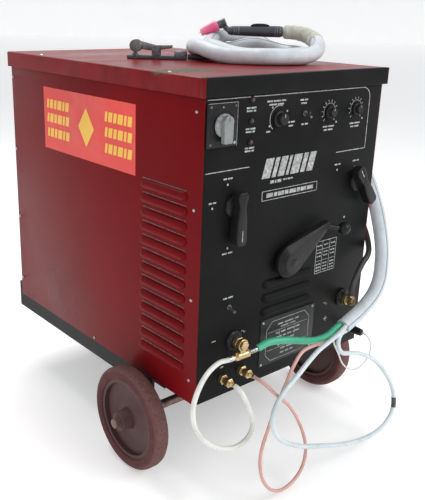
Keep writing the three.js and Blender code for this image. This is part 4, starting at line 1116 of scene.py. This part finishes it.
class WELDER_OT_printing(bpy.types.Operator):
    """Prints the panel's frame, scales, dots and small rows of marks"""

    bl_idname = "welder.printing"
    bl_label = "Panel printing"

    def execute(self, context):
        shapes = frame_line() + title_marks() + setting_label()
        for z in (633, 591, 552):
            shapes += words(-153, z + 2.6, (10, 14)) + words(-153, z - 3.4, (16, 7))
        shapes.append(arc(*CURRENT_KNOB, 27, -140, 20, 1.4))
        shapes += [dot(-98, 594, 2.2), dot(-92, 632, 2.2), dot(-47, 622, 2.2)]
        shapes += words(-81, 645, (16, 22, 12)) + words(-81, 638, (22, 18))
        shapes += words(-33, 598, (9, 12)) + words(-33, 590, (14,)) + words(-101, 583, (12,))
        shapes += words(4, 642, (12, 10)) + words(4, 635, (18,)) + words(11, 590, (9, 9))
        for x, z in (SLOPE_KNOB, GAS_KNOB):
            shapes += ticks(x, z, 22, 12)
            shapes.append(arc(x, z, 19.5, -110, 110, 0.9))
            shapes.append(dot(x + 26, z - 24, 2.4))
            shapes += words(x, 578, (15, 20)) + words(x, 570.5, (11, 16))
        shapes += [dot(-209, 486), dot(-249, 442), dot(-162, 441), dot(-202, 349)]
        shapes += words(-209, 498, (10, 12)) + words(-249, 453, (8, 9)) + words(-158, 452, (10,))
        shapes += words(-202, 338, (14, 12))
        shapes += [dot(138, 473), dot(204, 473), dot(182, 352)]
        shapes += words(138, 486, (10, 8)) + words(205, 488, (12, 9))
        shapes += words(-193, 235, (12, 14))
        shapes += sine_mark(-141, 142) + [bar(-236, 141, -224, 143.4)]
        shapes += sine_mark(141, 137) + [bar(140, 93.8, 152, 96.2), bar(144.8, 89, 147.2, 101)]
        shapes += words(-202, 72, (9,)) + words(-144, 74, (11,)) + words(258, 62, (12,))
        piece("panel_marks", joined(*shapes), "cabinet", "print")
        self.rating_plate()
        return {"FINISHED"}

    def rating_plate(self):
        """A plain rating plate held by four screws, with rows of bars where its figures would be."""
        low, high = (-86, 32), (98, 150)
        base = block((low[0], -1.5, low[1]), (high[0], -0.1, high[1]), 0.5, 2)
        piece("rating_plate", base, "cabinet", "label")
        corners = ((-79, 144), (90, 144), (-79, 38), (90, 38))
        screws = [(screw(3.4), front_place(x, z, -1.5)) for x, z in corners]
        piece("plate_screws", joined(*screws), "cabinet", "steel")
        marks = []
        outline = [(-66, 122), (-48, 140), (62, 140), (80, 122), (80, 58), (62, 40), (-48, 40), (-66, 58)]
        for (x0, z0), (x1, z1) in zip(outline, outline[1:] + outline[:1]):
            length = math.hypot(x1 - x0, z1 - z0)
            line = block((-length / 2, INK[0], -0.7), (length / 2, INK[1], 0.7))
            turn = Matrix.Rotation(math.atan2(z0 - z1, x1 - x0), 4, "Y")
            marks.append((line, at((x0 + x1) / 2, 0, (z0 + z1) / 2) @ turn))
        rows = ((128, (18, 30, 14)), (120, (26, 20)), (106, (12, 16, 24, 14)), (95, (20, 9, 15, 22)),
                (84, (30, 12)), (73, (9, 14, 18, 11)), (62, (16, 24)), (51, (12, 12, 10)))
        for z, lengths in rows:
            marks += words(7, z, lengths, 3.6, 5)
        marks += [bar(-60, 113, 74, 114), bar(-60, 67, 74, 68), bar(-22, 68, -21, 113), bar(30, 68, 31, 113)]
        piece("plate_marks", joined(*marks), "cabinet", "print", place=at(0, -1.6, 0))


def sine_mark(x, z):
    """The alternating-current sign: one small wave."""
    return [arc(x - 3, z, 3, -90, 90, 1.5), arc(x + 3, z, 3, 90, 270, 1.5)]


# ---------------------------------------------------------------- controls
def knob_shape(radius, tall):
    """A fluted knob with a cap; its pointer line is made by pointer()."""
    skirt = spun([(0, -1), (radius, -1), (radius, -3.5), (radius * 0.86, -6), (radius * 0.78, -6.6),
                  (radius * 0.72, -tall + 1.5), (radius * 0.66, -tall), (0, -tall)], "Y", 40)
    ribs = []
    for i in range(14):
        rib = block((-1.0, -tall + 2, radius * 0.70), (1.0, -6, radius * 0.79), 0.35, 2)
        ribs.append((rib, Matrix.Rotation(i * math.tau / 14, 4, "Y")))
    return joined(skirt, *ribs)


def pointer(radius, tall):
    return block((-0.7, -tall - 0.25, radius * 0.2), (0.7, -tall + 0.2, radius * 0.64), 0.15, 1)


def selector_shape(above, below):
    """A long bar grip on a round boss, waisted on both sides."""
    half = 14
    outline = []
    for z, wide in ((-below, 9), (-below + 8, half), (-24, half - 1), (-4, half - 5), (6, half - 5),
                    (20, half - 1), (above - 8, half), (above, 9)):
        outline.append((wide, z))
    outline += [(-x, z) for x, z in reversed(outline)]
    grip = slab(outline, -8, -32, "Y", 3.2, 4)
    boss = spun([(0, -1), (24, -1), (24, -4), (22.5, -7), (20, -9), (0, -9)], "Y", 40)
    return joined(grip, boss)


class WELDER_OT_controls(bpy.types.Operator):
    """Makes the switch, knobs, selectors, range lever, toggles and lamps"""

    bl_idname = "welder.controls"
    bl_label = "Controls"

    def execute(self, context):
        self.main_switch()
        for node, body, spot, radius, tall in (
            ("current_knob", "current_control", CURRENT_KNOB, 17, 18),
            ("slope_time_knob", "slope_control", SLOPE_KNOB, 14, 15),
            ("gas_time_knob", "gas_control", GAS_KNOB, 14, 15),
        ):
            place = on_front(spot)
            piece(f"fluted_{node}", knob_shape(radius, tall), body, "black_plastic",
                  (node,), place)
            piece(f"{node}_pointer", pointer(radius, tall), body, "print", place=place)
        piece("process_grip", selector_shape(34, 80), "process_control", "black_plastic",
              ("process_selector",), on_front(PROCESS_SELECTOR))
        piece("process_grip_line", block((-1, -32.3, -70), (1, -31.6, -46)), "process_control", "print",
              place=on_front(PROCESS_SELECTOR))
        turn = on_front(POLARITY_SELECTOR) @ Matrix.Rotation(math.radians(-37), 4, "Y")
        piece("polarity_grip", selector_shape(48, 64), "polarity_control", "black_plastic",
              ("polarity_selector",), turn)
        piece("polarity_grip_line", block((-1, -32.3, 22), (1, -31.6, 42)), "polarity_control", "print",
              place=turn)
        self.range_lever()
        for node, body, spot in (
            ("mode_toggle", "mode_switch", MODE_TOGGLE),
            ("remote_toggle", "remote_switch", REMOTE_TOGGLE),
        ):
            tilt = on_front(spot) @ Matrix.Rotation(math.radians(16), 4, "X")
            bat = spun([(0, -22), (2.4, -21.6), (3.5, -20), (3.3, -18), (2.2, -6), (2.2, 3), (0, 3)], "Y", 24)
            piece(f"{node}_bat", bat, body, "dull_steel", (node,), tilt)
            nut = spun([(3.4, -0.1), (6.5, -0.1), (6.5, -2.4), (5.6, -3.2), (3.4, -3.2), (3.4, -0.1)], "Y", 6)
            collar = ring(3.0, 4.4, -0.1, -5, "Y", 24)
            piece(f"{node}_nut", joined(nut, collar), "cabinet", "dull_steel",
                  place=on_front(spot), sharp=25)
        self.lamps()
        return {"FINISHED"}

    def main_switch(self):
        place = on_front(MAIN_SWITCH)
        base = block((-39.5, -5.7, -43.5), (39.5, -0.3, 43.5), 1.8, 4)
        rim = ring(30.5, 33, -5.6, -6.6)
        piece("switch_plate", joined(base, rim), "cabinet", "black_plastic",
              ("main_switch_plate",), place)
        dark = [(screw(3.0), front_place(x, z, -5.7)) for x, z in ((-32, 36), (32, 36), (-32, -36))]
        piece("switch_plate_screws", joined(*dark), "cabinet", "dull_steel", place=place)
        bright = joined((screw(3.6), front_place(32, -36, -5.7)))
        piece("switch_plate_bright_screw", bright, "cabinet", "steel", place=place)
        # An index mark above the grip, and pale lines along the plate's top and right edges that are painted
        # highlights.
        marks = [bar(-1.5, 31, 1.5, 36), bar(-39, 42.2, 39, 43), bar(38.2, -43, 39, 43)]
        piece("switch_index_and_edge_highlights", joined(*marks), "cabinet", "print", place=place @ at(0, -5.7, 0))
        disc = spun([(0, -7), (22, -7), (23, -8), (23, -11.5), (20.5, -14.5), (0, -15.5)], "Y", 48)
        outline = [(-9.5, -34), (9.5, -34), (11, -31), (12, -4)]
        for i in range(13):
            turn = math.radians(-20 + 220 * i / 12)
            outline.append((12.4 * math.cos(turn), 8 + 12.4 * math.sin(turn)))
        outline += [(-12, -4), (-11, -31)]
        grip = slab(outline, -13.5, -25, "Y", 2.4, 4)
        piece("switch_grip", joined(disc, grip), "main_switch", "grey_plastic",
              ("main_switch_knob",), place)
        line = block((-0.8, -25.2, 9), (0.8, -24.6, 18))
        piece("switch_grip_line", line, "main_switch", "label", place=place)

    def range_lever(self):
        """A tapered grip on a domed hub, with a neck that leans out to the ball."""
        tilt = on_front(RANGE_LEVER) @ Matrix.Rotation(math.radians(-19.65), 4, "Y")
        hub = spun([(0, -11), (38, -11), (39, -12), (39, -20), (26, -33), (0, -33)], "Y", 48)
        grip = joined(hub, block((122, -32, 21.8), (131, -15, 35.6)))
        made = bmesh.ops.convex_hull(grip, input=grip.verts)
        loose = [g for g in made["geom_interior"] + made["geom_unused"] if isinstance(g, bmesh.types.BMVert)]
        bmesh.ops.delete(grip, geom=list(set(loose)), context="VERTS")
        bmesh.ops.dissolve_limit(grip, angle_limit=math.radians(2), verts=grip.verts, edges=grip.edges)
        folds = [e for e in grip.edges if e.calc_face_angle(0) > math.radians(25)]
        round_edges(grip, folds, 1.6, 3)
        boss = spun([(0, -1), (25, -1), (26, -2), (26, -12), (0, -12)], "Y", 48)
        cap = spun([(0, -32.8), (10, -32.8), (10, -33.6), (8.5, -34.3), (0, -34.4)], "Y", 32)
        spine = [(112, -23, 27), (126, -26, 23), (143, -34, 12), (150, -37, 8)]
        neck = lofted(spine, [6.6, 6.2, 5.6, 5.4], 2, 8)
        piece("lever_grip", joined(grip, boss, cap, neck), "range_control", "black_plastic",
              ("range_lever",), tilt)
        turns = [math.pi * i / 24 for i in range(25)]
        ball = spun([(15 * math.sin(turn), -15 * math.cos(turn)) for turn in turns], "X", 48)
        piece("lever_ball", ball, "range_control", "black_plastic", ("range_lever_ball",),
              tilt @ at(163.5, -42, 0))

    def lamps(self):
        for name, z in LAMP_HEIGHTS.items():
            lens = spun([(0, -0.5), (4.6, -0.5), (4.6, -4), (3.6, -6), (1.8, -6.9), (0, -7.1)], "Y", 32)
            piece(f"{name}_lens", lens, "cabinet", "lamp", (f"{name}_lamp",),
                  at(LAMP_COLUMN, 0, z))
            bezel = spun([(4.7, -0.2), (6.6, -0.2), (6.6, -2.2), (5.9, -3), (4.7, -3), (4.7, -0.2)], "Y", 32)
            piece(f"{name}_bezel", bezel, "cabinet", "black_plastic",
                  place=at(LAMP_COLUMN, 0, z))
        eye = spun([(0, -0.2), (2.6, -0.2), (2.6, -2.4), (1.6, -3.4), (0, -3.7)], "Y", 24)
        piece("mode_light", eye, "cabinet", "lamp", place=at(24, 0, 613))


# ---------------------------------------------------------------- terminals and connectors
def hexagon(radius, low, high):
    """A six-sided nut between two places along Y, with its corners taken off."""
    return spun([
        (0, low), (radius - 1.2, low), (radius, low - 1), (radius, high + 1), (radius - 1.2, high),
        (0, high),
    ], "Y", 6)


def threaded(radius, low, high, pitch=1.6):
    """A threaded rod's outline, from low to high along Y."""
    profile = [(0, low)]
    y = low
    while y > high + pitch:
        profile += [(radius - 0.5, y), (radius, y - pitch / 2)]
        y -= pitch
    profile += [(radius - 0.5, y), (radius - 1.2, high), (0, high)]
    return spun(profile, "Y", 28)


class WELDER_OT_terminals(bpy.types.Operator):
    """Makes the weld terminals, hose connectors, lugs, ferrule and control plug"""

    bl_idname = "welder.terminals"
    bl_label = "Terminals and connectors"

    def execute(self, context):
        for side, spot in (("left", LEFT_TERMINAL), ("right", RIGHT_TERMINAL)):
            flange = spun([(8.3, -0.3), (22, -0.3), (23, -1.2), (23, -4), (21, -6), (18, -7), (16.5, -10),
                           (8.3, -10), (8.3, -0.3)], "Y", 48)
            notches = []
            for i in range(12):
                lobe = block((-1.8, -6.2, 19.2), (1.8, -1.0, 22.9), 0.8, 2)
                notches.append((lobe, Matrix.Rotation(i * math.tau / 12, 4, "Y")))
            piece(f"{side}_insulator", joined(flange, *notches), "cabinet", "black_plastic",
                  (f"{side}_terminal_flange",), on_front(spot))
            nut = hexagon(14.5, -13, -22)
            stud = threaded(6.9, -22, -39.8)
            seat = spun([(0, -0.4), (7.9, -0.4), (7.9, -11), (12.5, -11.2), (12.5, -13), (0, -13)], "Y", 32)
            top = hexagon(11.5, -35 if side == "left" else -33.6, -39)
            piece(f"{side}_stud_and_nuts", joined(seat, nut, stud, top), "cabinet", "brass",
                  (f"{side}_terminal_stud",), on_front(spot), sharp=25)
        self.torch_block()
        for node, spot in (("gas_connector", GAS_SOCKET), ("water_connector", WATER_SOCKET)):
            base = hexagon(12.2, -0.3, -11)
            body = drum(8, -11, -18, "Y", 28)
            cap = hexagon(11, -18, -30)
            barb = spun([
                (0, -30), (5.6, -30), (5.6, -34), (4.6, -36), (5.4, -38), (4.4, -40), (4.4, -44),
                (0, -44),
            ], "Y", 24)
            piece(f"{node}_body", joined(base, body, cap, barb), "cabinet", "brass",
                  (node,), on_front(spot), sharp=25)
        plug = spun([
            (0, -0.3), (12.4, -0.3), (13, -1), (13, -7), (12, -8), (10, -9), (10, -24), (9, -28),
            (9, -33), (6, -36), (0, -36),
        ], "Y", 36)
        piece("control_plug_body", plug, "cabinet", "black_plastic",
              ("control_plug",), on_front(CONTROL_SOCKET))
        return {"FINISHED"}

    def torch_block(self):
        """The lug that joins the torch's power hose and its water feed to the stud."""
        eyelet = spun([(7.3, -26), (13, -26), (14, -27), (14, -33), (13, -34), (7.3, -34), (7.3, -26)], "Y", 40)
        strap = block((-8, -34, -22), (8, -26, -11), 1.2, 3)
        body = spun([
            (0, -24), (4, -24), (4.4, -22), (7.4, -21), (7.4, -15), (9, -14), (9, 14), (7.4, 15),
            (7.4, 21), (4.4, 22), (4, 24), (0, 24),
        ], "X", 36)
        nut = spun([(0, -20), (9, -20), (9.8, -19), (9.8, -15), (9, -14), (0, -14)], "X", 6)
        far = spun([(0, 14), (9, 14), (9.8, 15), (9.8, 19), (9, 20), (0, 20)], "X", 6)
        shape = joined(eyelet, strap, *[(bm, at(-1, -30, -24)) for bm in (body, nut, far)])
        piece("torch_block", shape, "cabinet", "brass", ("torch_lug",),
              on_front(LEFT_TERMINAL), sharp=30)
        spine = [(-147.5, -30.1, 105.1), (-128, -30.5, 105.8), (-112, -32.6, 110.2)]
        ferrule = lofted(spine, [5.4, 5.2, 5.2], 3, 8)
        crimps = []
        for x, y, z in ((-141, -30.2, 105.3), (-134, -30.3, 105.6)):
            band = spun([(5, -1.4), (6.4, -1), (6.4, 1), (5, 1.4), (5, -1.4)], "X", 28)
            crimps.append((band, at(x, y, z)))
        piece("hose_ferrule", joined(ferrule, *crimps), "cabinet", "steel")
        clip = ring(5.4, 6.4, -4, 4, "X", 28)
        piece("water_hose_clip", clip, "cabinet", "steel", place=at(-207, -30.2, 105.3))
        tape = lofted([(280, -139, -140), (285, -135, -126), (285.5, -133, -115)], [6.1, 6.1, 6.1], 3, 5)
        piece("hose_tape", tape, "cabinet", "tape")


# ---------------------------------------------------------------- torch and clamp
class WELDER_OT_torch(bpy.types.Operator):
    """Makes the torch on its coil and the return clamp on the lid"""

    bl_idname = "welder.torch"
    bl_label = "Torch and clamp"

    def execute(self, context):
        places = (0.4, 6, 14, 30, 52, 84, 112, 132, 139.8)
        swell = [11.5, 13.6, 13.9, 13.9, 13.5, 12.6, 11.8, 11.2, 8.5]
        handle = lofted([(x, 0, 0) for x in places], swell, 2.5, 12)
        rings = []
        for x in (8, 14, 20, 112, 118, 124):
            size = 14.0 if x < 40 else 12.3
            root = size - 1.5
            bead = spun([(root, -1.6), (size, -1), (size, 1), (root, 1.6), (root, -1.6)], "X", 36)
            rings.append((bead, at(x, 0, 0)))
        neck = lofted([(134, 0, 0), (142, 0, 4), (150, 0, 12), (154, 0, 21)], [7.6, 7, 6.6, 6.6], 2, 8)
        drop = at(152, 0, 18) @ Matrix.Rotation(math.radians(23), 4, "Y")
        head = spun([
            (0, -7), (9, -7), (10.6, -5.5), (11, -3), (11, 10), (10, 12), (10, 14), (0, 14),
        ], "X", 36)
        grip = joined(handle, *rings, neck, (head, drop))
        piece("torch_handle", grip, "cabinet", "handle",
              ("torch_body",), TORCH)
        cup = spun([
            (6, 14.6), (14, 14.6), (14.4, 16), (14, 24), (12.6, 30), (11.4, 44), (9.6, 62),
            (8.2, 62.4), (5.6, 61.6), (5.9, 34), (6, 14.6),
        ], "X", 40)
        rod = spun([(0, 20), (1.2, 20), (1.2, 66), (0, 70)], "X", 16)
        piece("ceramic_cup", cup, "cabinet", "ceramic", ("torch_nozzle",), TORCH @ drop)
        piece("tungsten_rod", rod, "cabinet", "steel", place=TORCH @ drop)
        lever = slab([
            (34, 11.4), (83, 11.4), (82, 15), (76, 17.6), (66, 19), (50, 19), (40, 17.4), (35, 15),
        ], -6.2, 6.2, "Y", 1.6, 3)
        piece("trigger_lever", lever, "torch_switch", "black_plastic",
              ("torch_trigger",), TORCH)
        self.clamp()
        return {"FINISHED"}

    def clamp(self):
        beam = block((0, -11, 0), (147, 11, 9), 2.4, 4)
        pad = spun([(0, -11), (7, -11), (7.5, -10), (7.5, 10), (7, 11), (0, 11)], "Y", 28)
        ears = [block((62, y, 5), (82, y + 3, 33), 1.2, 2) for y in (-11, 8)]
        pin = spun([
            (0, -12.5), (5, -12.5), (5, -11), (3.5, -11), (3.5, 11), (5, 11), (5, 12.5), (0, 12.5),
        ], "Y", 24)
        socket = spun([
            (7.4, 117), (10, 117), (11, 118.5), (11, 145), (10, 147), (7.4, 147), (7.4, 117),
        ], "X", 32)
        placed = [(pad, at(20, 0, 8)), *ears, (pin, at(72, 0, 26)), (socket, at(0, 0, 11))]
        piece("clamp_lower", joined(beam, *placed), "cabinet", "handle",
              ("clamp_base",), CLAMP)
        head = spun([(0, -12), (14, -12), (15, -11), (15, 11), (14, 12), (0, 12)], "Y", 40)
        arm = slab([(26, 24), (64, 20), (110, 27), (112, 34), (72, 33), (30, 43)], -7, 7, "Y", 1.6, 3)
        jaw = joined((head, at(22, 0, 31)), arm)
        piece("clamp_upper", jaw, "clamp_grip", "dull_steel", ("clamp_jaw",), CLAMP)
        spring = []
        for i in range(33):
            turn = i * math.tau / 8
            spring.append((72 + 6 * math.cos(turn), -5.2 + i * 0.32, 26 + 6 * math.sin(turn)))
        coil = lofted(spring, [0.9] * len(spring), 2.0, 2)
        piece("clamp_spring", coil, "cabinet", "dull_steel", place=CLAMP)


# ---------------------------------------------------------------- inside and rear
class WELDER_OT_inside(bpy.types.Operator):
    """Finishes the gear that shows through the fan opening, and the rear fittings"""

    bl_idname = "welder.inside"
    bl_label = "Inside and rear"

    def execute(self, context):
        dress("core", "transformer_core")
        dress("copper", "transformer_winding")
        dress("alloy", "rectifier_stack")
        dress("frame_enamel", "fan_motor")
        dress("grey_plastic", "fan_blades")
        dress("brass", "return_cable_lug")
        self.rear_fittings()
        self.fan_guard()
        return {"FINISHED"}

    def rear_fittings(self):
        gland = joined(
            drum(15.8, 776, 790.4, "Y", 32),
            spun([(0, 790.3), (22, 790.3), (23.9, 792), (23.9, 805), (22, 807), (0, 807)], "Y", 6),
            spun([
                (0, 807), (17, 807), (16, 812), (15, 826), (12.4, 846), (11, 848), (9, 848),
                (9, 830), (0, 830),
            ], "Y", 36),
        )
        piece("cable_gland", gland, "cabinet", "black_plastic",
              ("mains_gland",), at(-150, 0, 120), sharp=25)
        inlet = joined(
            drum(6.9, 776, 790.4, "Y", 24),
            spun([(0, 790.3), (9.6, 790.3), (10.4, 791.5), (10.4, 799), (9.6, 800), (0, 800)], "Y", 6),
            spun([
                (0, 800), (6.6, 800), (6.6, 808), (5.2, 810), (6, 813), (5.0, 816), (5.8, 819),
                (4.8, 824), (0, 824),
            ], "Y", 24),
        )
        piece("gas_inlet_barb", inlet, "cabinet", "brass", ("gas_inlet",), at(150, 0, 120), sharp=25)

    def fan_guard(self):
        """Wire rings and spokes over the fan opening."""
        shapes = []
        middle = at(0, 0, FAN_HEIGHT)
        turns = [i * math.tau / 8 for i in range(9)]
        spine = [(x, 791.6, 0) for x in (-122, -60, 0, 60, 122)]
        for radius in (30, 48, 66, 84, 102, 116):
            wire = [(radius + 1.3 * math.cos(turn), 793 + 1.3 * math.sin(turn)) for turn in turns]
            shapes.append((spun(wire, "Y", 56), middle))
        for i in range(4):
            spoke = lofted(spine, [1.3] * len(spine), 30, 3)
            shapes.append((spoke, middle @ Matrix.Rotation((i + 0.5) * math.pi / 4, 4, "Y")))
        piece("fan_guard", joined(*shapes), "cabinet", "steel")


# ---------------------------------------------------------------- stage
class WELDER_OT_stage(bpy.types.Operator):
    """Sets the floor, the lights and the camera"""

    bl_idname = "welder.stage"
    bl_label = "Stage"

    def execute(self, context):
        settings = context.scene.welder_stage
        self.floor(settings)
        self.lights(settings)
        self.camera(settings.lens)
        return {"FINISHED"}

    def floor(self, settings):
        bm = bmesh.new()
        bmesh.ops.create_grid(bm, x_segments=8, y_segments=8, size=60)
        bmesh.ops.translate(bm, verts=bm.verts, vec=(0, 0, -0.0004))
        facing = Matrix.Rotation(math.radians(-39.6), 4, "Z") @ Matrix.Translation((0, 24, 6))
        wall = facing @ Matrix.Rotation(math.pi / 2, 4, "X") @ Matrix.Diagonal((3, 0.6, 1, 1))
        bmesh.ops.create_grid(bm, x_segments=4, y_segments=4, size=10, matrix=wall)
        mesh = bpy.data.meshes.new("floor")
        bm.to_mesh(mesh)
        bm.free()
        floor = bpy.data.objects.new("floor", mesh)
        bpy.context.scene.collection.objects.link(floor)
        n = Nodes("pale_floor")
        patches = n.noise(3, 4)
        tint = n.blend(n.span(patches, 0.3, 0.7), (0.86, 0.86, 0.86), (0.90, 0.90, 0.90))
        floor.data.materials.append(
            n.finish(tint, 0.75, Emission_Color=(1, 1, 1, 1), Emission_Strength=settings.glow)
        )

    def lights(self, settings):
        world = bpy.data.worlds.new("surround")
        bpy.context.scene.world = world
        world.use_nodes = True
        background = world.node_tree.nodes["Background"]
        background.inputs["Color"].default_value = (0.97, 0.98, 1.0, 1)
        background.inputs["Strength"].default_value = settings.sky
        bpy.context.scene.view_settings.view_transform = "Standard"
        for name, spot, aim, size, power in (
            ("key", (1.4, -3.0, 2.6), (0, 0, 0.5), 2.2, settings.key),
            ("fill", (-3.4, -1.2, 2.2), (0, 0, 0.5), 2.4, settings.fill),
            ("top", (0.2, 1.6, 3.4), (0, 0, 0.9), 2.0, settings.key * 0.9),
        ):
            lamp = bpy.data.lights.new(name, "AREA")
            lamp.shape = "SQUARE"
            lamp.size = size
            lamp.energy = power
            obj = bpy.data.objects.new(name, lamp)
            bpy.context.scene.collection.objects.link(obj)
            look = (Vector(spot) - Vector(aim)).to_track_quat("Z", "Y")
            obj.matrix_world = Matrix.Translation(spot) @ look.to_matrix().to_4x4()

    def camera(self, lens):
        turn, tilt, roll = (math.radians(a) for a in (-39.561, 18.315, 1.321))
        back = Vector((math.sin(turn) * math.cos(tilt), -math.cos(turn) * math.cos(tilt), math.sin(tilt)))
        right = (-back).cross(Vector((0, 0, 1))).normalized()
        up = back.cross(right)
        across = right * math.cos(roll) + up * math.sin(roll)
        upward = up * math.cos(roll) - right * math.sin(roll)
        camera = bpy.data.cameras.new("camera")
        camera.sensor_width = 36
        camera.lens = lens
        camera.shift_x = 0.0728
        camera.shift_y = -0.021
        obj = bpy.data.objects.new("camera", camera)
        bpy.context.scene.collection.objects.link(obj)
        frame_axes = Matrix((across, upward, back)).transposed().to_4x4()
        spot = Matrix.Translation(CABINET @ Vector((-1169.58, -1003.56, 825.84)))
        obj.matrix_world = spot @ frame_axes
        bpy.context.scene.camera = obj


# ---------------------------------------------------------------- add-on
class WELDER_PT_panel(bpy.types.Panel):
    """Lists the steps and the settings"""

    bl_idname = "WELDER_PT_panel"
    bl_label = "Welding power source"
    bl_space_type = "VIEW_3D"
    bl_region_type = "UI"
    bl_category = "Welder"

    def draw(self, context):
        scene = context.scene
        for group in (scene.welder_finish, scene.welder_hoses, scene.welder_stage):
            for key in group.__annotations__:
                self.layout.prop(group, key)
        for step in STEPS:
            self.layout.operator(step.bl_idname)


STEPS = (
    WELDER_OT_stage,
    WELDER_OT_hoses,
    WELDER_OT_cabinet,
    WELDER_OT_printing,
    WELDER_OT_controls,
    WELDER_OT_terminals,
    WELDER_OT_wheels,
    WELDER_OT_torch,
    WELDER_OT_inside,
)
CLASSES = (FinishSettings, HoseSettings, StageSettings, *STEPS, WELDER_PT_panel)


def register():
    for cls in CLASSES:
        bpy.utils.register_class(cls)
    bpy.types.Scene.welder_finish = bpy.props.PointerProperty(type=FinishSettings)
    bpy.types.Scene.welder_hoses = bpy.props.PointerProperty(type=HoseSettings)
    bpy.types.Scene.welder_stage = bpy.props.PointerProperty(type=StageSettings)


def unregister():
    del bpy.types.Scene.welder_finish
    del bpy.types.Scene.welder_hoses
    del bpy.types.Scene.welder_stage
    for cls in reversed(CLASSES):
        bpy.utils.unregister_class(cls)


def main():
    register()
    FINISH.update(make_finishes())
    bpy.ops.welder.stage()
    bpy.ops.welder.hoses()
    bpy.ops.welder.cabinet()
    bpy.ops.welder.printing()
    bpy.ops.welder.controls()
    bpy.ops.welder.terminals()
    bpy.ops.welder.wheels()
    bpy.ops.welder.torch()
    bpy.ops.welder.inside()


if __name__ == "__main__":
    main()
